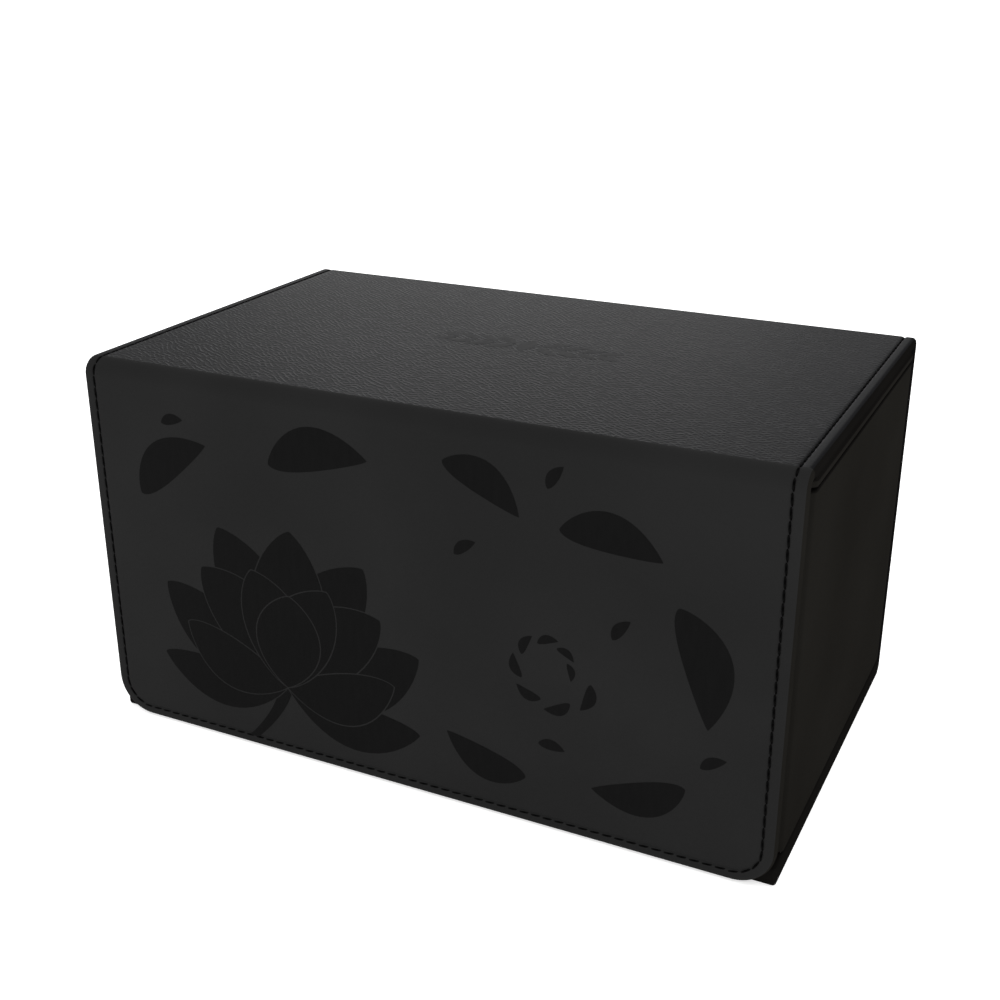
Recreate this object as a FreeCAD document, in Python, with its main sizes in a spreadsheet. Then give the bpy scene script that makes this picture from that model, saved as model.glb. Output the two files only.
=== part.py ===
import FreeCAD, Part

import math
import os

import Sketcher

# Card deck box: a leatherette book-style case (flap, lid, back, base) folded round a wrapped board box.
# Frame: origin at the middle of the underside, +X to the right, the flap faces -Y, +Z up. Millimetres.

SIZES = {
    # the closed box
    "width": 205.0,
    "depth": 125.6,
    "height": 112.0,
    # sheet goods
    "leatherette": 0.6,
    "fabric": 0.5,
    "wall_board": 3.0,
    "thread_proud": 0.2,
    "air_gap": 0.3,
    # case panels: flap, lid, back and base
    "flap_cover_depth": 1.8,
    "flap_corner": 11.0,
    "flap_foot_gap": 0.5,
    "lid_cover_depth": 2.4,
    "lid_insert_drop": 3.6,
    "back_cover_depth": 2.4,
    "base_thick": 5.5,
    "base_setback": 2.8,
    # leather folds that join the panels
    "front_fold_outer": 4.5,
    "front_fold_thick": 1.4,
    "rear_fold_outer": 3.0,
    "rear_fold_thick": 1.2,
    # inner box
    "body_setback": 2.9,
    "body_side_inset": 0.3,
    "body_top": 105.0,
    "corner_cut": 7.0,
    "mitre": math.tan(math.radians(22.5)),
    "insert_rear_gap": 4.1,
    "floor_board": 2.0,
    # dividers
    "card_bay": 71.5,
    "divider_thick": 2.4,
    "divider_fabric": 0.4,
    "divider_top": 95.0,
    "divider_end_gap": 0.4,
    # magnetic closure
    "magnet_radius": 5.0,
    "magnet_thick": 1.2,
    "magnet_across": 62.0,
    "magnet_level": 16.0,
    "keeper_long": 22.0,
    "keeper_tall": 12.0,
    "keeper_thick": 1.0,
    # stitching
    "stitch_edge": 3.45,
    "stitch_foot": 2.8,
    "stitch_bend": 8.2,
    "stitch_pitch": 3.4,
    "stitch_long": 2.7,
    "stitch_wide": 0.6,
}


class Length:
    """A length with its value now and the sheet expression that gives it."""

    def __init__(self, value, text):
        self.value = value
        self.text = text

    def __add__(self, other):
        other = as_length(other)
        return Length(self.value + other.value, f"({self.text} + {other.text})")

    def __sub__(self, other):
        other = as_length(other)
        return Length(self.value - other.value, f"({self.text} - {other.text})")

    def __mul__(self, factor):
        factor = as_length(factor)
        return Length(self.value * factor.value, f"({self.text} * {factor.text})")

    def __truediv__(self, factor):
        factor = as_length(factor)
        return Length(self.value / factor.value, f"({self.text} / {factor.text})")

    def __neg__(self):
        return Length(-self.value, f"(0 - {self.text})")


def as_length(number):
    """Take a Length as it is, or turn a plain number into one."""
    return number if isinstance(number, Length) else Length(float(number), repr(float(number)))


class Sizes:
    """Driving sizes as attributes, with the levels and faces that follow from them."""

    def __init__(self):
        for name, value in SIZES.items():
            setattr(self, name, Length(value, f"Sheet.{name}"))
        self.side = self.width / 2
        self.rear = self.depth / 2
        # outer faces of the flap and the lid, under the threads
        self.flap_face = self.thread_proud - self.rear
        self.lid_face = self.height - self.thread_proud
        # the flap, from its face inwards
        self.flap_liner_face = self.flap_face + self.flap_cover_depth
        self.flap_board_face = self.flap_face + self.leatherette
        self.flap_back = self.flap_liner_face + self.fabric
        self.flap_top = self.lid_face - self.front_fold_outer
        # the lid, from its face downwards
        self.lid_front = self.flap_face + self.front_fold_outer
        self.lid_rear = self.rear - self.rear_fold_outer
        self.insert_top = self.lid_face - self.lid_cover_depth
        self.insert_foot = self.insert_top - self.lid_insert_drop
        # the back and the base
        self.back_top = self.lid_face - self.rear_fold_outer
        self.back_inner = self.rear - self.back_cover_depth
        self.base_front = self.base_setback - self.rear
        self.base_board_top = self.base_thick - self.fabric
        # the inner box
        self.body_side = self.side - self.body_side_inset
        self.body_front = self.body_setback - self.rear
        self.rim = self.body_top - self.leatherette
        self.board_inset = self.leatherette + self.wall_board
        self.lined_inset = self.board_inset + self.fabric
        self.floor_top = self.base_thick + self.floor_board
        self.inside = self.body_side - self.lined_inset
        # folds: middle of each arc
        self.front_fold_y = self.lid_front
        self.front_fold_z = self.flap_top
        self.rear_fold_y = self.lid_rear
        self.rear_fold_z = self.back_top


def make_sheet(doc):
    """Write every driving size into the sheet as an aliased plain number."""
    sheet = doc.addObject("Spreadsheet::Sheet", "Sheet")
    for row, (name, value) in enumerate(SIZES.items(), start=1):
        sheet.set(f"A{row}", name)
        sheet.set(f"B{row}", repr(value))
        sheet.setAlias(f"B{row}", name)
    doc.recompute()
    return sheet


def new_body(doc, label):
    """Start a PartDesign body whose label is the node's name."""
    body = doc.addObject("PartDesign::Body", label)
    body.Label = label
    return body


def sketch_on(body, name, plane, lift):
    """Start a sketch on one of the body's own origin planes, lifted along the plane's normal."""
    sketch = body.newObject("Sketcher::SketchObject", name)
    support = next(f for f in body.Origin.OriginFeatures if f.Role == plane)
    sketch.AttachmentSupport = [(support, "")]
    sketch.MapMode = "FlatFace"
    sketch.setExpression("AttachmentOffset.Base.z", lift.text)
    return sketch


def place_point(sketch, geometry, end, across, up):
    """Tie one point of the sketch to the origin by two driven distances."""
    for kind, length in (("DistanceX", across), ("DistanceY", up)):
        index = sketch.addConstraint(Sketcher.Constraint(kind, -1, 1, geometry, end, length.value))
        sketch.setExpression(f"Constraints[{index}]", length.text)


def add_loop(sketch, points):
    """Draw a closed polygon through points, each a pair of Lengths."""
    first = sketch.GeometryCount
    corners = [FreeCAD.Vector(x.value, y.value, 0) for x, y in points]
    count = len(corners)
    for i in range(count):
        sketch.addGeometry(Part.LineSegment(corners[i], corners[(i + 1) % count]), False)
    for i in range(count):
        following = first + (i + 1) % count
        sketch.addConstraint(Sketcher.Constraint("Coincident", first + i, 2, following, 1))
    for i, (x, y) in enumerate(points):
        place_point(sketch, first + i, 1, x, y)


def add_circle(sketch, x, y, radius):
    """Draw a circle with a driven centre and radius."""
    centre = FreeCAD.Vector(x.value, y.value, 0)
    ring = sketch.addGeometry(Part.Circle(centre, FreeCAD.Vector(0, 0, 1), radius.value), False)
    place_point(sketch, ring, 3, x, y)
    index = sketch.addConstraint(Sketcher.Constraint("Radius", ring, radius.value))
    sketch.setExpression(f"Constraints[{index}]", radius.text)


def pad(body, sketch, length):
    """Pad a sketch along its plane's normal by a driven length."""
    feature = body.newObject("PartDesign::Pad", sketch.Name + "_pad")
    feature.Profile = sketch
    feature.setExpression("Length", length.text)
    body.Tip = feature
    return feature


def pocket(body, sketch, depth):
    """Cut a sketch into the body, against its plane's normal."""
    feature = body.newObject("PartDesign::Pocket", sketch.Name + "_pocket")
    feature.Profile = sketch
    feature.setExpression("Length", depth.text)
    body.Tip = feature
    return feature


def prism(doc, label, plane, loops, low, length):
    """Make a body of one padded outline, or of an outline with another inside it.

    plane is XY_Plane, padded up from low, or XZ_Plane, padded backwards from the face at low.
    """
    body = new_body(doc, label)
    if plane == "XZ_Plane":
        lift = -(low + length)
    else:
        lift = low
    sketch = sketch_on(body, label + "_outline", plane, lift)
    for loop in loops:
        add_loop(sketch, loop)
    pad(body, sketch, length)
    return body


def rectangle(left, right, near, far):
    """Give the corners of a rectangle."""
    return [(left, near), (right, near), (right, far), (left, far)]


def channel(side, foot, top, sheet_thick):
    """Give a channel section: a flat web at top with a flange turned down at each side."""
    inner = side - sheet_thick
    web = top - sheet_thick
    return [(-side, foot), (-inner, foot), (-inner, web), (inner, web),
            (inner, foot), (side, foot), (side, top), (-side, top)]


def plan(size, inset, rear):
    """Give the inner box's outline, cut across its two front corners, drawn in by inset."""
    across = size.body_side - inset
    front = size.body_front + inset
    slant = size.corner_cut + size.mitre * inset - inset
    return [(-across, rear), (-across, front + slant), (slant - across, front),
            (across - slant, front), (across, front + slant), (across, rear)]


def edges_at(shape, test):
    """Name the straight edges whose middle passes test."""
    return [f"Edge{i}" for i, edge in enumerate(shape.Edges, start=1)
            if test(edge.valueAt((edge.FirstParameter + edge.LastParameter) / 2))]


def flap_plate(doc, size, label, inset, face, thick):
    """Make a flap-shaped plate: square at the top, round at its two lower corners."""
    side = size.side - inset
    foot = size.flap_foot_gap + inset
    body = prism(doc, label, "XZ_Plane", [rectangle(-side, side, foot, size.flap_top)], face, thick)
    doc.recompute()
    plate = body.Tip
    feature = body.newObject("PartDesign::Fillet", label + "_corners")
    middle = face.value + thick.value / 2

    def lower_corner(point):
        return abs(point.z - foot.value) < 1e-3 and abs(point.y - middle) < 1e-3 and (
            abs(abs(point.x) - side.value) < 1e-3)

    feature.Base = (plate, edges_at(plate.Shape, lower_corner))
    feature.setExpression("Radius", (size.flap_corner - inset).text)
    body.Tip = feature
    return body


def cut(doc, label, base, tool):
    """Subtract tool from base."""
    result = doc.addObject("Part::Cut", label)
    result.Label = label
    result.Base = base
    result.Tool = tool
    return result


def disc(doc, label, x, face, z, radius, thick):
    """Make a disc that lies against a vertical face, its axis along Y."""
    part = doc.addObject("Part::Cylinder", label)
    part.Label = label
    part.setExpression("Radius", radius.text)
    part.setExpression("Height", thick.text)
    part.Placement.Rotation = FreeCAD.Rotation(FreeCAD.Vector(1, 0, 0), -90)
    for axis, length in zip("xyz", (x, face, z)):
        part.setExpression(f"Placement.Base.{axis}", length.text)
    return part


def block(doc, label, low, lengths):
    """Make a box from its low corner and its three side lengths."""
    part = doc.addObject("Part::Box", label)
    part.Label = label
    for name, length in zip(("Length", "Width", "Height"), lengths):
        part.setExpression(name, length.text)
    for axis, length in zip("xyz", low):
        part.setExpression(f"Placement.Base.{axis}", length.text)
    return part


def fold(doc, size, label, centre_y, centre_z, outer, thick, start_angle):
    """Make a quarter-round strip along X; start_angle is where it starts, from +Y towards +Z."""
    along_x = FreeCAD.Rotation(FreeCAD.Vector(1, 1, 1), 120)
    turn = FreeCAD.Rotation(FreeCAD.Vector(1, 0, 0), start_angle)
    quarters = []
    for name, radius in ((label + "_outer", outer), (label + "_inner", outer - thick)):
        quarter = doc.addObject("Part::Cylinder", name)
        quarter.setExpression("Radius", radius.text)
        quarter.setExpression("Height", size.width.text)
        quarter.Angle = 90
        quarter.Placement.Rotation = turn * along_x
        for axis, length in zip("xyz", (-size.side, centre_y, centre_z)):
            quarter.setExpression(f"Placement.Base.{axis}", length.text)
        quarters.append(quarter)
    return cut(doc, label, *quarters)


def stitch(size, point, along, out):
    """Make one stitch, a short flat bar lying on a face.

    point is its middle on the face, along its direction and out the face's outward normal.
    """
    across = out.cross(along)
    length, breadth, rise = size.stitch_long.value, size.stitch_wide.value, size.thread_proud.value
    corner = point - along * (length / 2) - across * (breadth / 2)
    ring = [corner, corner + along * length, corner + along * length + across * breadth,
            corner + across * breadth]
    return Part.Face(Part.makePolygon(ring + ring[:1])).extrude(out * rise)


def thread(doc, label, stitches):
    """Keep a row of stitches as one sub-part."""
    part = doc.addObject("Part::Feature", label)
    part.Label = label
    part.Shape = Part.makeCompound(stitches)
    return part


def build_flap(doc, size):
    """Flap: leatherette cover, board core with two magnets, and inner lining."""
    board_thick = size.flap_cover_depth - size.leatherette
    outer = flap_plate(doc, size, "flap_cover_blank", as_length(0), size.flap_face, size.flap_cover_depth)
    hollow = flap_plate(doc, size, "flap_cover_hollow", size.leatherette, size.flap_board_face, board_thick)
    board = flap_plate(doc, size, "flap_board", size.leatherette, size.flap_board_face, board_thick)
    doc.recompute()
    holes = sketch_on(board, "flap_board_holes", "XZ_Plane", -size.flap_board_face)
    for x in (-size.magnet_across, size.magnet_across):
        add_circle(holes, x, size.magnet_level, size.magnet_radius)
    pocket(board, holes, size.magnet_thick)
    lining = flap_plate(doc, size, "flap_lining", size.fabric, size.flap_liner_face, size.fabric)
    magnets = [disc(doc, "flap_magnet_" + hand, x, size.flap_board_face, size.magnet_level,
                    size.magnet_radius, size.magnet_thick)
               for hand, x in (("left", -size.magnet_across), ("right", size.magnet_across))]
    return [cut(doc, "flap_cover", outer, hollow), board, lining, *magnets, flap_thread(doc, size)]


def flap_thread(doc, size):
    """One row of stitches down the left edge, round the foot and up the right edge."""
    side = size.side.value - size.stitch_edge.value
    foot = size.flap_foot_gap.value + size.stitch_foot.value
    top = size.flap_top.value
    bend = size.stitch_bend.value
    inner = side - bend
    low = foot + bend
    path = Part.Wire([
        Part.LineSegment(FreeCAD.Vector(-side, 0, top), FreeCAD.Vector(-side, 0, low)).toShape(),
        corner_arc(-inner, low, bend, 180, 270),
        Part.LineSegment(FreeCAD.Vector(-inner, 0, foot), FreeCAD.Vector(inner, 0, foot)).toShape(),
        corner_arc(inner, low, bend, 270, 360),
        Part.LineSegment(FreeCAD.Vector(side, 0, low), FreeCAD.Vector(side, 0, top)).toShape(),
    ])
    count = int(path.Length / size.stitch_pitch.value)
    marks = path.discretize(Number=2 * count + 1)
    out = FreeCAD.Vector(0, -1, 0)
    lift = FreeCAD.Vector(0, size.flap_face.value, 0)
    stitches = []
    for before, middle, after in zip(marks[:-2:2], marks[1:-1:2], marks[2::2]):
        along = (after - before).normalize()
        stitches.append(stitch(size, middle + lift, along, out))
    return thread(doc, "flap_thread", stitches)


def corner_arc(x, z, radius, start, end):
    """Make an arc in the XZ plane between two angles in degrees, from +X towards +Z."""
    def at(angle):
        turn = math.radians(angle)
        return FreeCAD.Vector(x + radius * math.cos(turn), 0, z + radius * math.sin(turn))
    return Part.Arc(at(start), at((start + end) / 2), at(end)).toShape()


def build_lid(doc, size):
    """Lid: covered board on top, a thick wrapped insert below it, and the lining that meets the rim."""
    length = size.lid_rear - size.lid_front
    cover = prism(doc, "lid_cover", "XZ_Plane",
                  [channel(size.side, size.insert_top, size.lid_face, size.leatherette)],
                  size.lid_front, length)
    board_side = size.side - size.leatherette
    board = block(doc, "lid_board", (-board_side, size.lid_front, size.insert_top),
                  (board_side * 2, length, size.lid_cover_depth - size.leatherette))
    rear = size.rear - size.insert_rear_gap
    edge = plan(size, as_length(0), rear)
    core = plan(size, size.leatherette, rear - size.leatherette)
    wrap = prism(doc, "lid_insert_wrap", "XY_Plane", [edge, core], size.insert_foot, size.lid_insert_drop)
    insert = prism(doc, "lid_insert_board", "XY_Plane", [core], size.insert_foot, size.lid_insert_drop)
    lining = prism(doc, "lid_lining", "XY_Plane",
                   [plan(size, size.fabric, rear - size.fabric)],
                   size.insert_foot - size.fabric, size.fabric)
    return [cover, board, wrap, insert, lining, *lid_threads(doc, size)]


def lid_threads(doc, size):
    """A straight row of stitches along each side of the lid."""
    start, end = size.lid_front.value, size.lid_rear.value
    count = int((end - start) / size.stitch_pitch.value)
    step = (end - start) / count
    rows = []
    for hand, sign in (("left", -1), ("right", 1)):
        x = sign * (size.side.value - size.stitch_edge.value)
        stitches = [stitch(size, FreeCAD.Vector(x, start + (i + 0.5) * step, size.lid_face.value),
                           FreeCAD.Vector(0, 1, 0), FreeCAD.Vector(0, 0, 1)) for i in range(count)]
        rows.append(thread(doc, "lid_thread_" + hand, stitches))
    return rows


def build_folds(doc, size):
    """The three leather folds: flap to lid, lid to back, and back to base."""
    return [
        fold(doc, size, "front_fold", size.front_fold_y, size.front_fold_z,
             size.front_fold_outer, size.front_fold_thick, 90),
        fold(doc, size, "rear_fold", size.rear_fold_y, size.rear_fold_z,
             size.rear_fold_outer, size.rear_fold_thick, 0),
        fold(doc, size, "bottom_fold", size.rear_fold_y, size.rear_fold_outer,
             size.rear_fold_outer, size.rear_fold_thick, -90),
    ]


def build_back_and_base(doc, size):
    """Back panel and base panel of the case, each a board in a turned leatherette cover."""
    tall = size.back_top - size.rear_fold_outer
    back_cover = prism(doc, "back_cover", "XY_Plane",
                       [channel(size.side, size.back_inner, size.rear, size.leatherette)],
                       size.rear_fold_outer, tall)
    board_side = size.side - size.leatherette
    back_board = block(doc, "back_board", (-board_side, size.back_inner, size.rear_fold_outer),
                       (board_side * 2, size.back_cover_depth - size.leatherette, tall))
    base_cover = prism(doc, "base_cover", "XY_Plane",
                       [rectangle(-size.side, size.side, size.base_front, size.lid_rear)],
                       as_length(0), size.base_board_top)
    doc.recompute()
    hollow = sketch_on(base_cover, "base_cover_hollow", "XY_Plane", size.base_board_top)
    board_front = size.base_front + size.leatherette
    add_loop(hollow, rectangle(-board_side, board_side, board_front, size.lid_rear))
    pocket(base_cover, hollow, size.base_board_top - size.leatherette)
    base_board = block(doc, "base_board", (-board_side, board_front, size.leatherette),
                       (board_side * 2, size.lid_rear - board_front,
                        size.base_board_top - size.leatherette))
    base_liner = block(doc, "base_liner", (-size.side, size.base_front, size.base_board_top),
                       (size.width, size.lid_rear - size.base_front, size.fabric))
    return [back_cover, back_board, base_cover, base_board, base_liner]


def build_inner_box(doc, size):
    """Inner box: six mitred wall boards, outer wrap, lining, rim, floor and two steel keepers."""
    rear = size.back_inner
    outline = plan(size, as_length(0), rear)
    wrapped = plan(size, size.leatherette, rear - size.leatherette)
    boarded = plan(size, size.board_inset, rear - size.board_inset)
    lined = plan(size, size.lined_inset, rear - size.lined_inset)
    foot = size.base_thick
    tall = size.rim - foot
    parts = [
        prism(doc, "body_wrap", "XY_Plane", [outline, wrapped], foot, tall),
        prism(doc, "rim_binding", "XY_Plane", [outline, lined], size.rim, size.leatherette),
        prism(doc, "wall_lining", "XY_Plane", [boarded, lined], size.floor_top, size.rim - size.floor_top),
        prism(doc, "floor_board", "XY_Plane", [boarded], foot, size.floor_board),
        prism(doc, "floor_lining", "XY_Plane", [lined], size.floor_top, size.fabric),
    ]
    names = ("left_wall_board", "front_left_corner_board", "front_wall_board",
             "front_right_corner_board", "right_wall_board", "rear_wall_board")
    for i, name in enumerate(names):
        j = (i + 1) % len(names)
        wall = prism(doc, name, "XY_Plane", [[wrapped[i], wrapped[j], boarded[j], boarded[i]]], foot, tall)
        if name == "front_wall_board":
            recess_keepers(doc, size, wall)
        parts.append(wall)
    parts.extend(keepers(doc, size))
    return parts


def keeper_low(size, x):
    """Low corner of the steel keeper centred on x."""
    face = size.body_front + size.leatherette
    return (x - size.keeper_long / 2, face, size.magnet_level - size.keeper_tall / 2)


def recess_keepers(doc, size, wall):
    """Cut the two keeper recesses into the outer face of the front wall board."""
    doc.recompute()
    sketch = sketch_on(wall, "keeper_recesses", "XZ_Plane", -(size.body_front + size.leatherette))
    for x in (-size.magnet_across, size.magnet_across):
        left, _, foot = keeper_low(size, x)
        add_loop(sketch, rectangle(left, left + size.keeper_long, foot, foot + size.keeper_tall))
    pocket(wall, sketch, size.keeper_thick)


def keepers(doc, size):
    """Two steel plates that the flap's magnets pull against."""
    lengths = (size.keeper_long, size.keeper_thick, size.keeper_tall)
    return [block(doc, "keeper_" + hand, keeper_low(size, x), lengths)
            for hand, x in (("left", -size.magnet_across), ("right", size.magnet_across))]


def build_dividers(doc, size):
    """Two sliding dividers, each a board in a folded fabric cover, and the three bays they leave."""
    parts = []
    front = size.body_front + size.lined_inset + size.divider_end_gap
    rear = size.back_inner - size.lined_inset - size.divider_end_gap
    foot = size.floor_top + size.fabric + size.air_gap
    first = size.card_bay + size.divider_thick / 2 - size.inside
    half = size.divider_thick / 2
    for hand, x in (("left", first), ("right", first + size.card_bay + size.divider_thick)):
        section = [(x + across, up) for across, up in channel(half, foot, size.divider_top,
                                                              size.divider_fabric)]
        name = "divider_" + hand
        parts.append(prism(doc, name + "_cover", "XZ_Plane", [section], front, rear - front))
        core = half - size.divider_fabric
        parts.append(block(doc, name + "_board", (x - core, front, foot),
                           (core * 2, rear - front, size.divider_top - size.divider_fabric - foot)))
    return parts


def check(doc, parts):
    """Stop with a message if any object failed or any sub-part isn't a valid solid."""
    for item in doc.Objects:
        if "Invalid" in item.State or "Error" in item.State:
            raise RuntimeError(f"{item.Name} failed: {item.State}")
    for part in parts:
        shape = part.Shape
        if shape.isNull() or not shape.isValid() or not shape.Solids:
            raise RuntimeError(f"{part.Label} is not a valid solid")


def check_pockets(doc):
    """Stop if a pocket took nothing away."""
    for item in doc.Objects:
        if item.TypeId == "PartDesign::Pocket" and item.BaseFeature.Shape.Volume - item.Shape.Volume < 1:
            raise RuntimeError(f"{item.Name} cut nothing")


def main():
    """Build the document, check it and write one file per sub-part."""
    doc = FreeCAD.newDocument("card_deck_box")
    make_sheet(doc)
    size = Sizes()
    parts = []
    for build in (build_flap, build_lid, build_folds, build_back_and_base, build_inner_box, build_dividers):
        parts.extend(build(doc, size))
    doc.recompute()
    check(doc, parts)
    check_pockets(doc)
    os.makedirs("parts", exist_ok=True)
    for part in parts:
        part.Shape.exportStep(f"parts/{part.Label}.step")
        print(f"{part.Label:28s} {part.Shape.Volume:12.1f} mm3  {len(part.Shape.Solids)} solid(s)")


main()
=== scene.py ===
"""Looks of the card deck box: leatherette case, wrapped inner box, linings, stitching and printed flap."""

import logging
import math
from collections.abc import Callable
from dataclasses import dataclass, field
from enum import Enum

import bmesh
import bpy
import numpy as np
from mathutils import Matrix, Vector
from mathutils.geometry import delaunay_2d_cdt


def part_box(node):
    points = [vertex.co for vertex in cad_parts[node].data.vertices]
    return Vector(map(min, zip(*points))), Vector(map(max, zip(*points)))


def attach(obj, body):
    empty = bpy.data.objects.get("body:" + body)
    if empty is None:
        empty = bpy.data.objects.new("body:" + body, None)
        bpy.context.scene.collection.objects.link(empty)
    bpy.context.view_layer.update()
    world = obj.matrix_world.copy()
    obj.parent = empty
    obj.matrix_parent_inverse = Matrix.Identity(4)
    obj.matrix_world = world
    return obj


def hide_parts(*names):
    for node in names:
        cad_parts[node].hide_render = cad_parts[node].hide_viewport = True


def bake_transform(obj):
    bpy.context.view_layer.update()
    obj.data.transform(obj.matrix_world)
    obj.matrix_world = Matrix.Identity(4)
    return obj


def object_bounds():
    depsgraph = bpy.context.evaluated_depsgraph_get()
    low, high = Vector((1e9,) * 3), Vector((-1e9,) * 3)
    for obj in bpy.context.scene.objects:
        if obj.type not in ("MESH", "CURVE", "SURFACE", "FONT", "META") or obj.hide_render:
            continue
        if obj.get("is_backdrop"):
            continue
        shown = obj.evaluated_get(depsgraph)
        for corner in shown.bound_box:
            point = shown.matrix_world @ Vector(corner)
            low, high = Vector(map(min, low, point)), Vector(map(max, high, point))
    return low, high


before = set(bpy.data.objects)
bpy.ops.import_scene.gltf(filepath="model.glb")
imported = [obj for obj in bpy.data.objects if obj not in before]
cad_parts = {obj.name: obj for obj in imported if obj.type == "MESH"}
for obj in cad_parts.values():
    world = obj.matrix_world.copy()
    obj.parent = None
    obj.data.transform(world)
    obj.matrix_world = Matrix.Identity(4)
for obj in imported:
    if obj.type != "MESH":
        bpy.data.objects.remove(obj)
LOG = logging.getLogger("deck_box")
MM = 0.001
CAD_LOW, CAD_HIGH = (tuple(corner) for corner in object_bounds())
Array = np.ndarray


class Face(Enum):
    """Which way a flat polygon is shaded."""

    FLAT = False
    SMOOTH = True


class Facing(Enum):
    """Which way a lining's seen face looks."""

    UP = 1
    DOWN = -1


# ---------------------------------------------------------------- geometry helpers


class MeshDraft:
    """Collects grids and polygons, each corner with its own flat coordinates, and makes one mesh."""

    def __init__(self) -> None:
        """Start empty."""
        self.points: list[Array] = []
        self.faces: list[list[int]] = []
        self.flat: list[Array] = []
        self.smooth: list[bool] = []
        self.slots: list[int] = []
        self.count = 0

    def grid(self, points: Array, flat: Array, slots: Array | None = None) -> None:
        """Add a grid of quads.

        Args:
            points: rows by columns by 3, in metres.
            flat: rows by columns by 2, the same corners' places on the flat material, in metres.
            slots: number of the finish for each strip between two columns, 0 if none are given.
        """
        rows, columns = points.shape[:2]
        corner = (np.arange(rows - 1)[:, None] * columns + np.arange(columns - 1)[None, :]).ravel()
        quads = np.stack([corner, corner + 1, corner + columns + 1, corner + columns], axis=1)
        self.points.append(points.reshape(-1, 3))
        self.faces.extend((quads + self.count).tolist())
        self.flat.append(flat.reshape(-1, 2)[quads].reshape(-1, 2))
        self.smooth.extend([True] * len(quads))
        strip = np.zeros(columns - 1, dtype=int) if slots is None else slots
        self.slots.extend(np.tile(strip, rows - 1).tolist())
        self.count += rows * columns

    def polygon(self, points: Array, flat: Array, shading: Face = Face.FLAT) -> None:
        """Add one flat polygon.

        Args:
            points: its corners in order, in metres.
            flat: the corners' places on the flat material.
            shading: flat or smooth.
        """
        self.points.append(points)
        self.faces.append(list(range(self.count, self.count + len(points))))
        self.flat.append(flat)
        self.smooth.append(shading.value)
        self.slots.append(0)
        self.count += len(points)

    def plate(self, points: Array, flat: Array, slots: Array | None = None) -> None:
        """Add a plate open at one end of its outline: its edge as a grid, both faces and the open end.

        Args:
            points: along the outline by across the edge by 3, in metres.
            flat: the same corners' places on the flat material.
            slots: number of the finish for each strip of the edge.
        """
        self.grid(points, flat, slots)
        self.polygon(points[:, -1], flat[:, -1])
        self.polygon(points[::-1, 0], flat[::-1, 0])
        self.polygon(np.vstack([points[0], points[-1, ::-1]]), np.vstack([flat[0], flat[-1, ::-1]]))

    def build(self, name: str, *finishes: bpy.types.Material) -> bpy.types.Object:
        """Make the object, with doubled corners merged and faces pointing out.

        Args:
            name: the piece's name.
            finishes: its materials, in the order of the slots.

        Returns:
            The new object, at the origin.
        """
        mesh = bpy.data.meshes.new(name)
        mesh.from_pydata(np.concatenate(self.points).tolist(), [], self.faces)
        mesh.polygons.foreach_set("use_smooth", self.smooth)
        mesh.polygons.foreach_set("material_index", self.slots)
        layer = mesh.uv_layers.new(name="flat_pattern")
        layer.data.foreach_set("uv", np.concatenate(self.flat).astype(np.float32).ravel())
        work = bmesh.new()
        work.from_mesh(mesh)
        bmesh.ops.remove_doubles(work, verts=work.verts, dist=1e-6)
        bmesh.ops.dissolve_degenerate(work, edges=work.edges, dist=1e-7)
        bmesh.ops.recalc_face_normals(work, faces=work.faces)
        for edge in work.edges:
            edge.smooth = all(face.smooth for face in edge.link_faces)
        work.to_mesh(mesh)
        work.free()
        for finish in finishes:
            mesh.materials.append(finish)
        return put_in_scene(name, mesh)


def put_in_scene(name: str, data: bpy.types.ID) -> bpy.types.Object:
    """Make an object of a mesh, light or camera and add it to the scene.

    Args:
        name: the object's name.
        data: what it holds.

    Returns:
        The object, at the origin.
    """
    made = bpy.data.objects.new(name, data)
    bpy.context.scene.collection.objects.link(made)
    return made


def run_length(points: Array) -> Array:
    """Distance along a line of points, from its first.

    Args:
        points: n by 2 or n by 3.

    Returns:
        n distances, the first 0.
    """
    steps = np.linalg.norm(np.diff(points, axis=0), axis=1)
    return np.concatenate([[0.0], np.cumsum(steps)])


def flat_grid(rows: Array, columns: Array) -> Array:
    """Every pair of a row's value and a column's value, rows by columns by 2."""
    return np.stack(np.broadcast_arrays(rows[:, None], columns[None, :]), axis=2)


def round_corner(centre: tuple[float, float], radius: float, start: float, end: float, count: int) -> Array:
    """Points of an arc: the centre plus the radius times the cosine and sine of the angle.

    Args:
        centre: its centre.
        radius: its radius.
        start: first angle in degrees.
        end: last angle in degrees.
        count: number of points.

    Returns:
        count by 2 points.
    """
    turn = np.radians(np.linspace(start, end, count))
    return np.stack([centre[0] + radius * np.cos(turn), centre[1] + radius * np.sin(turn)], axis=1)


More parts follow.
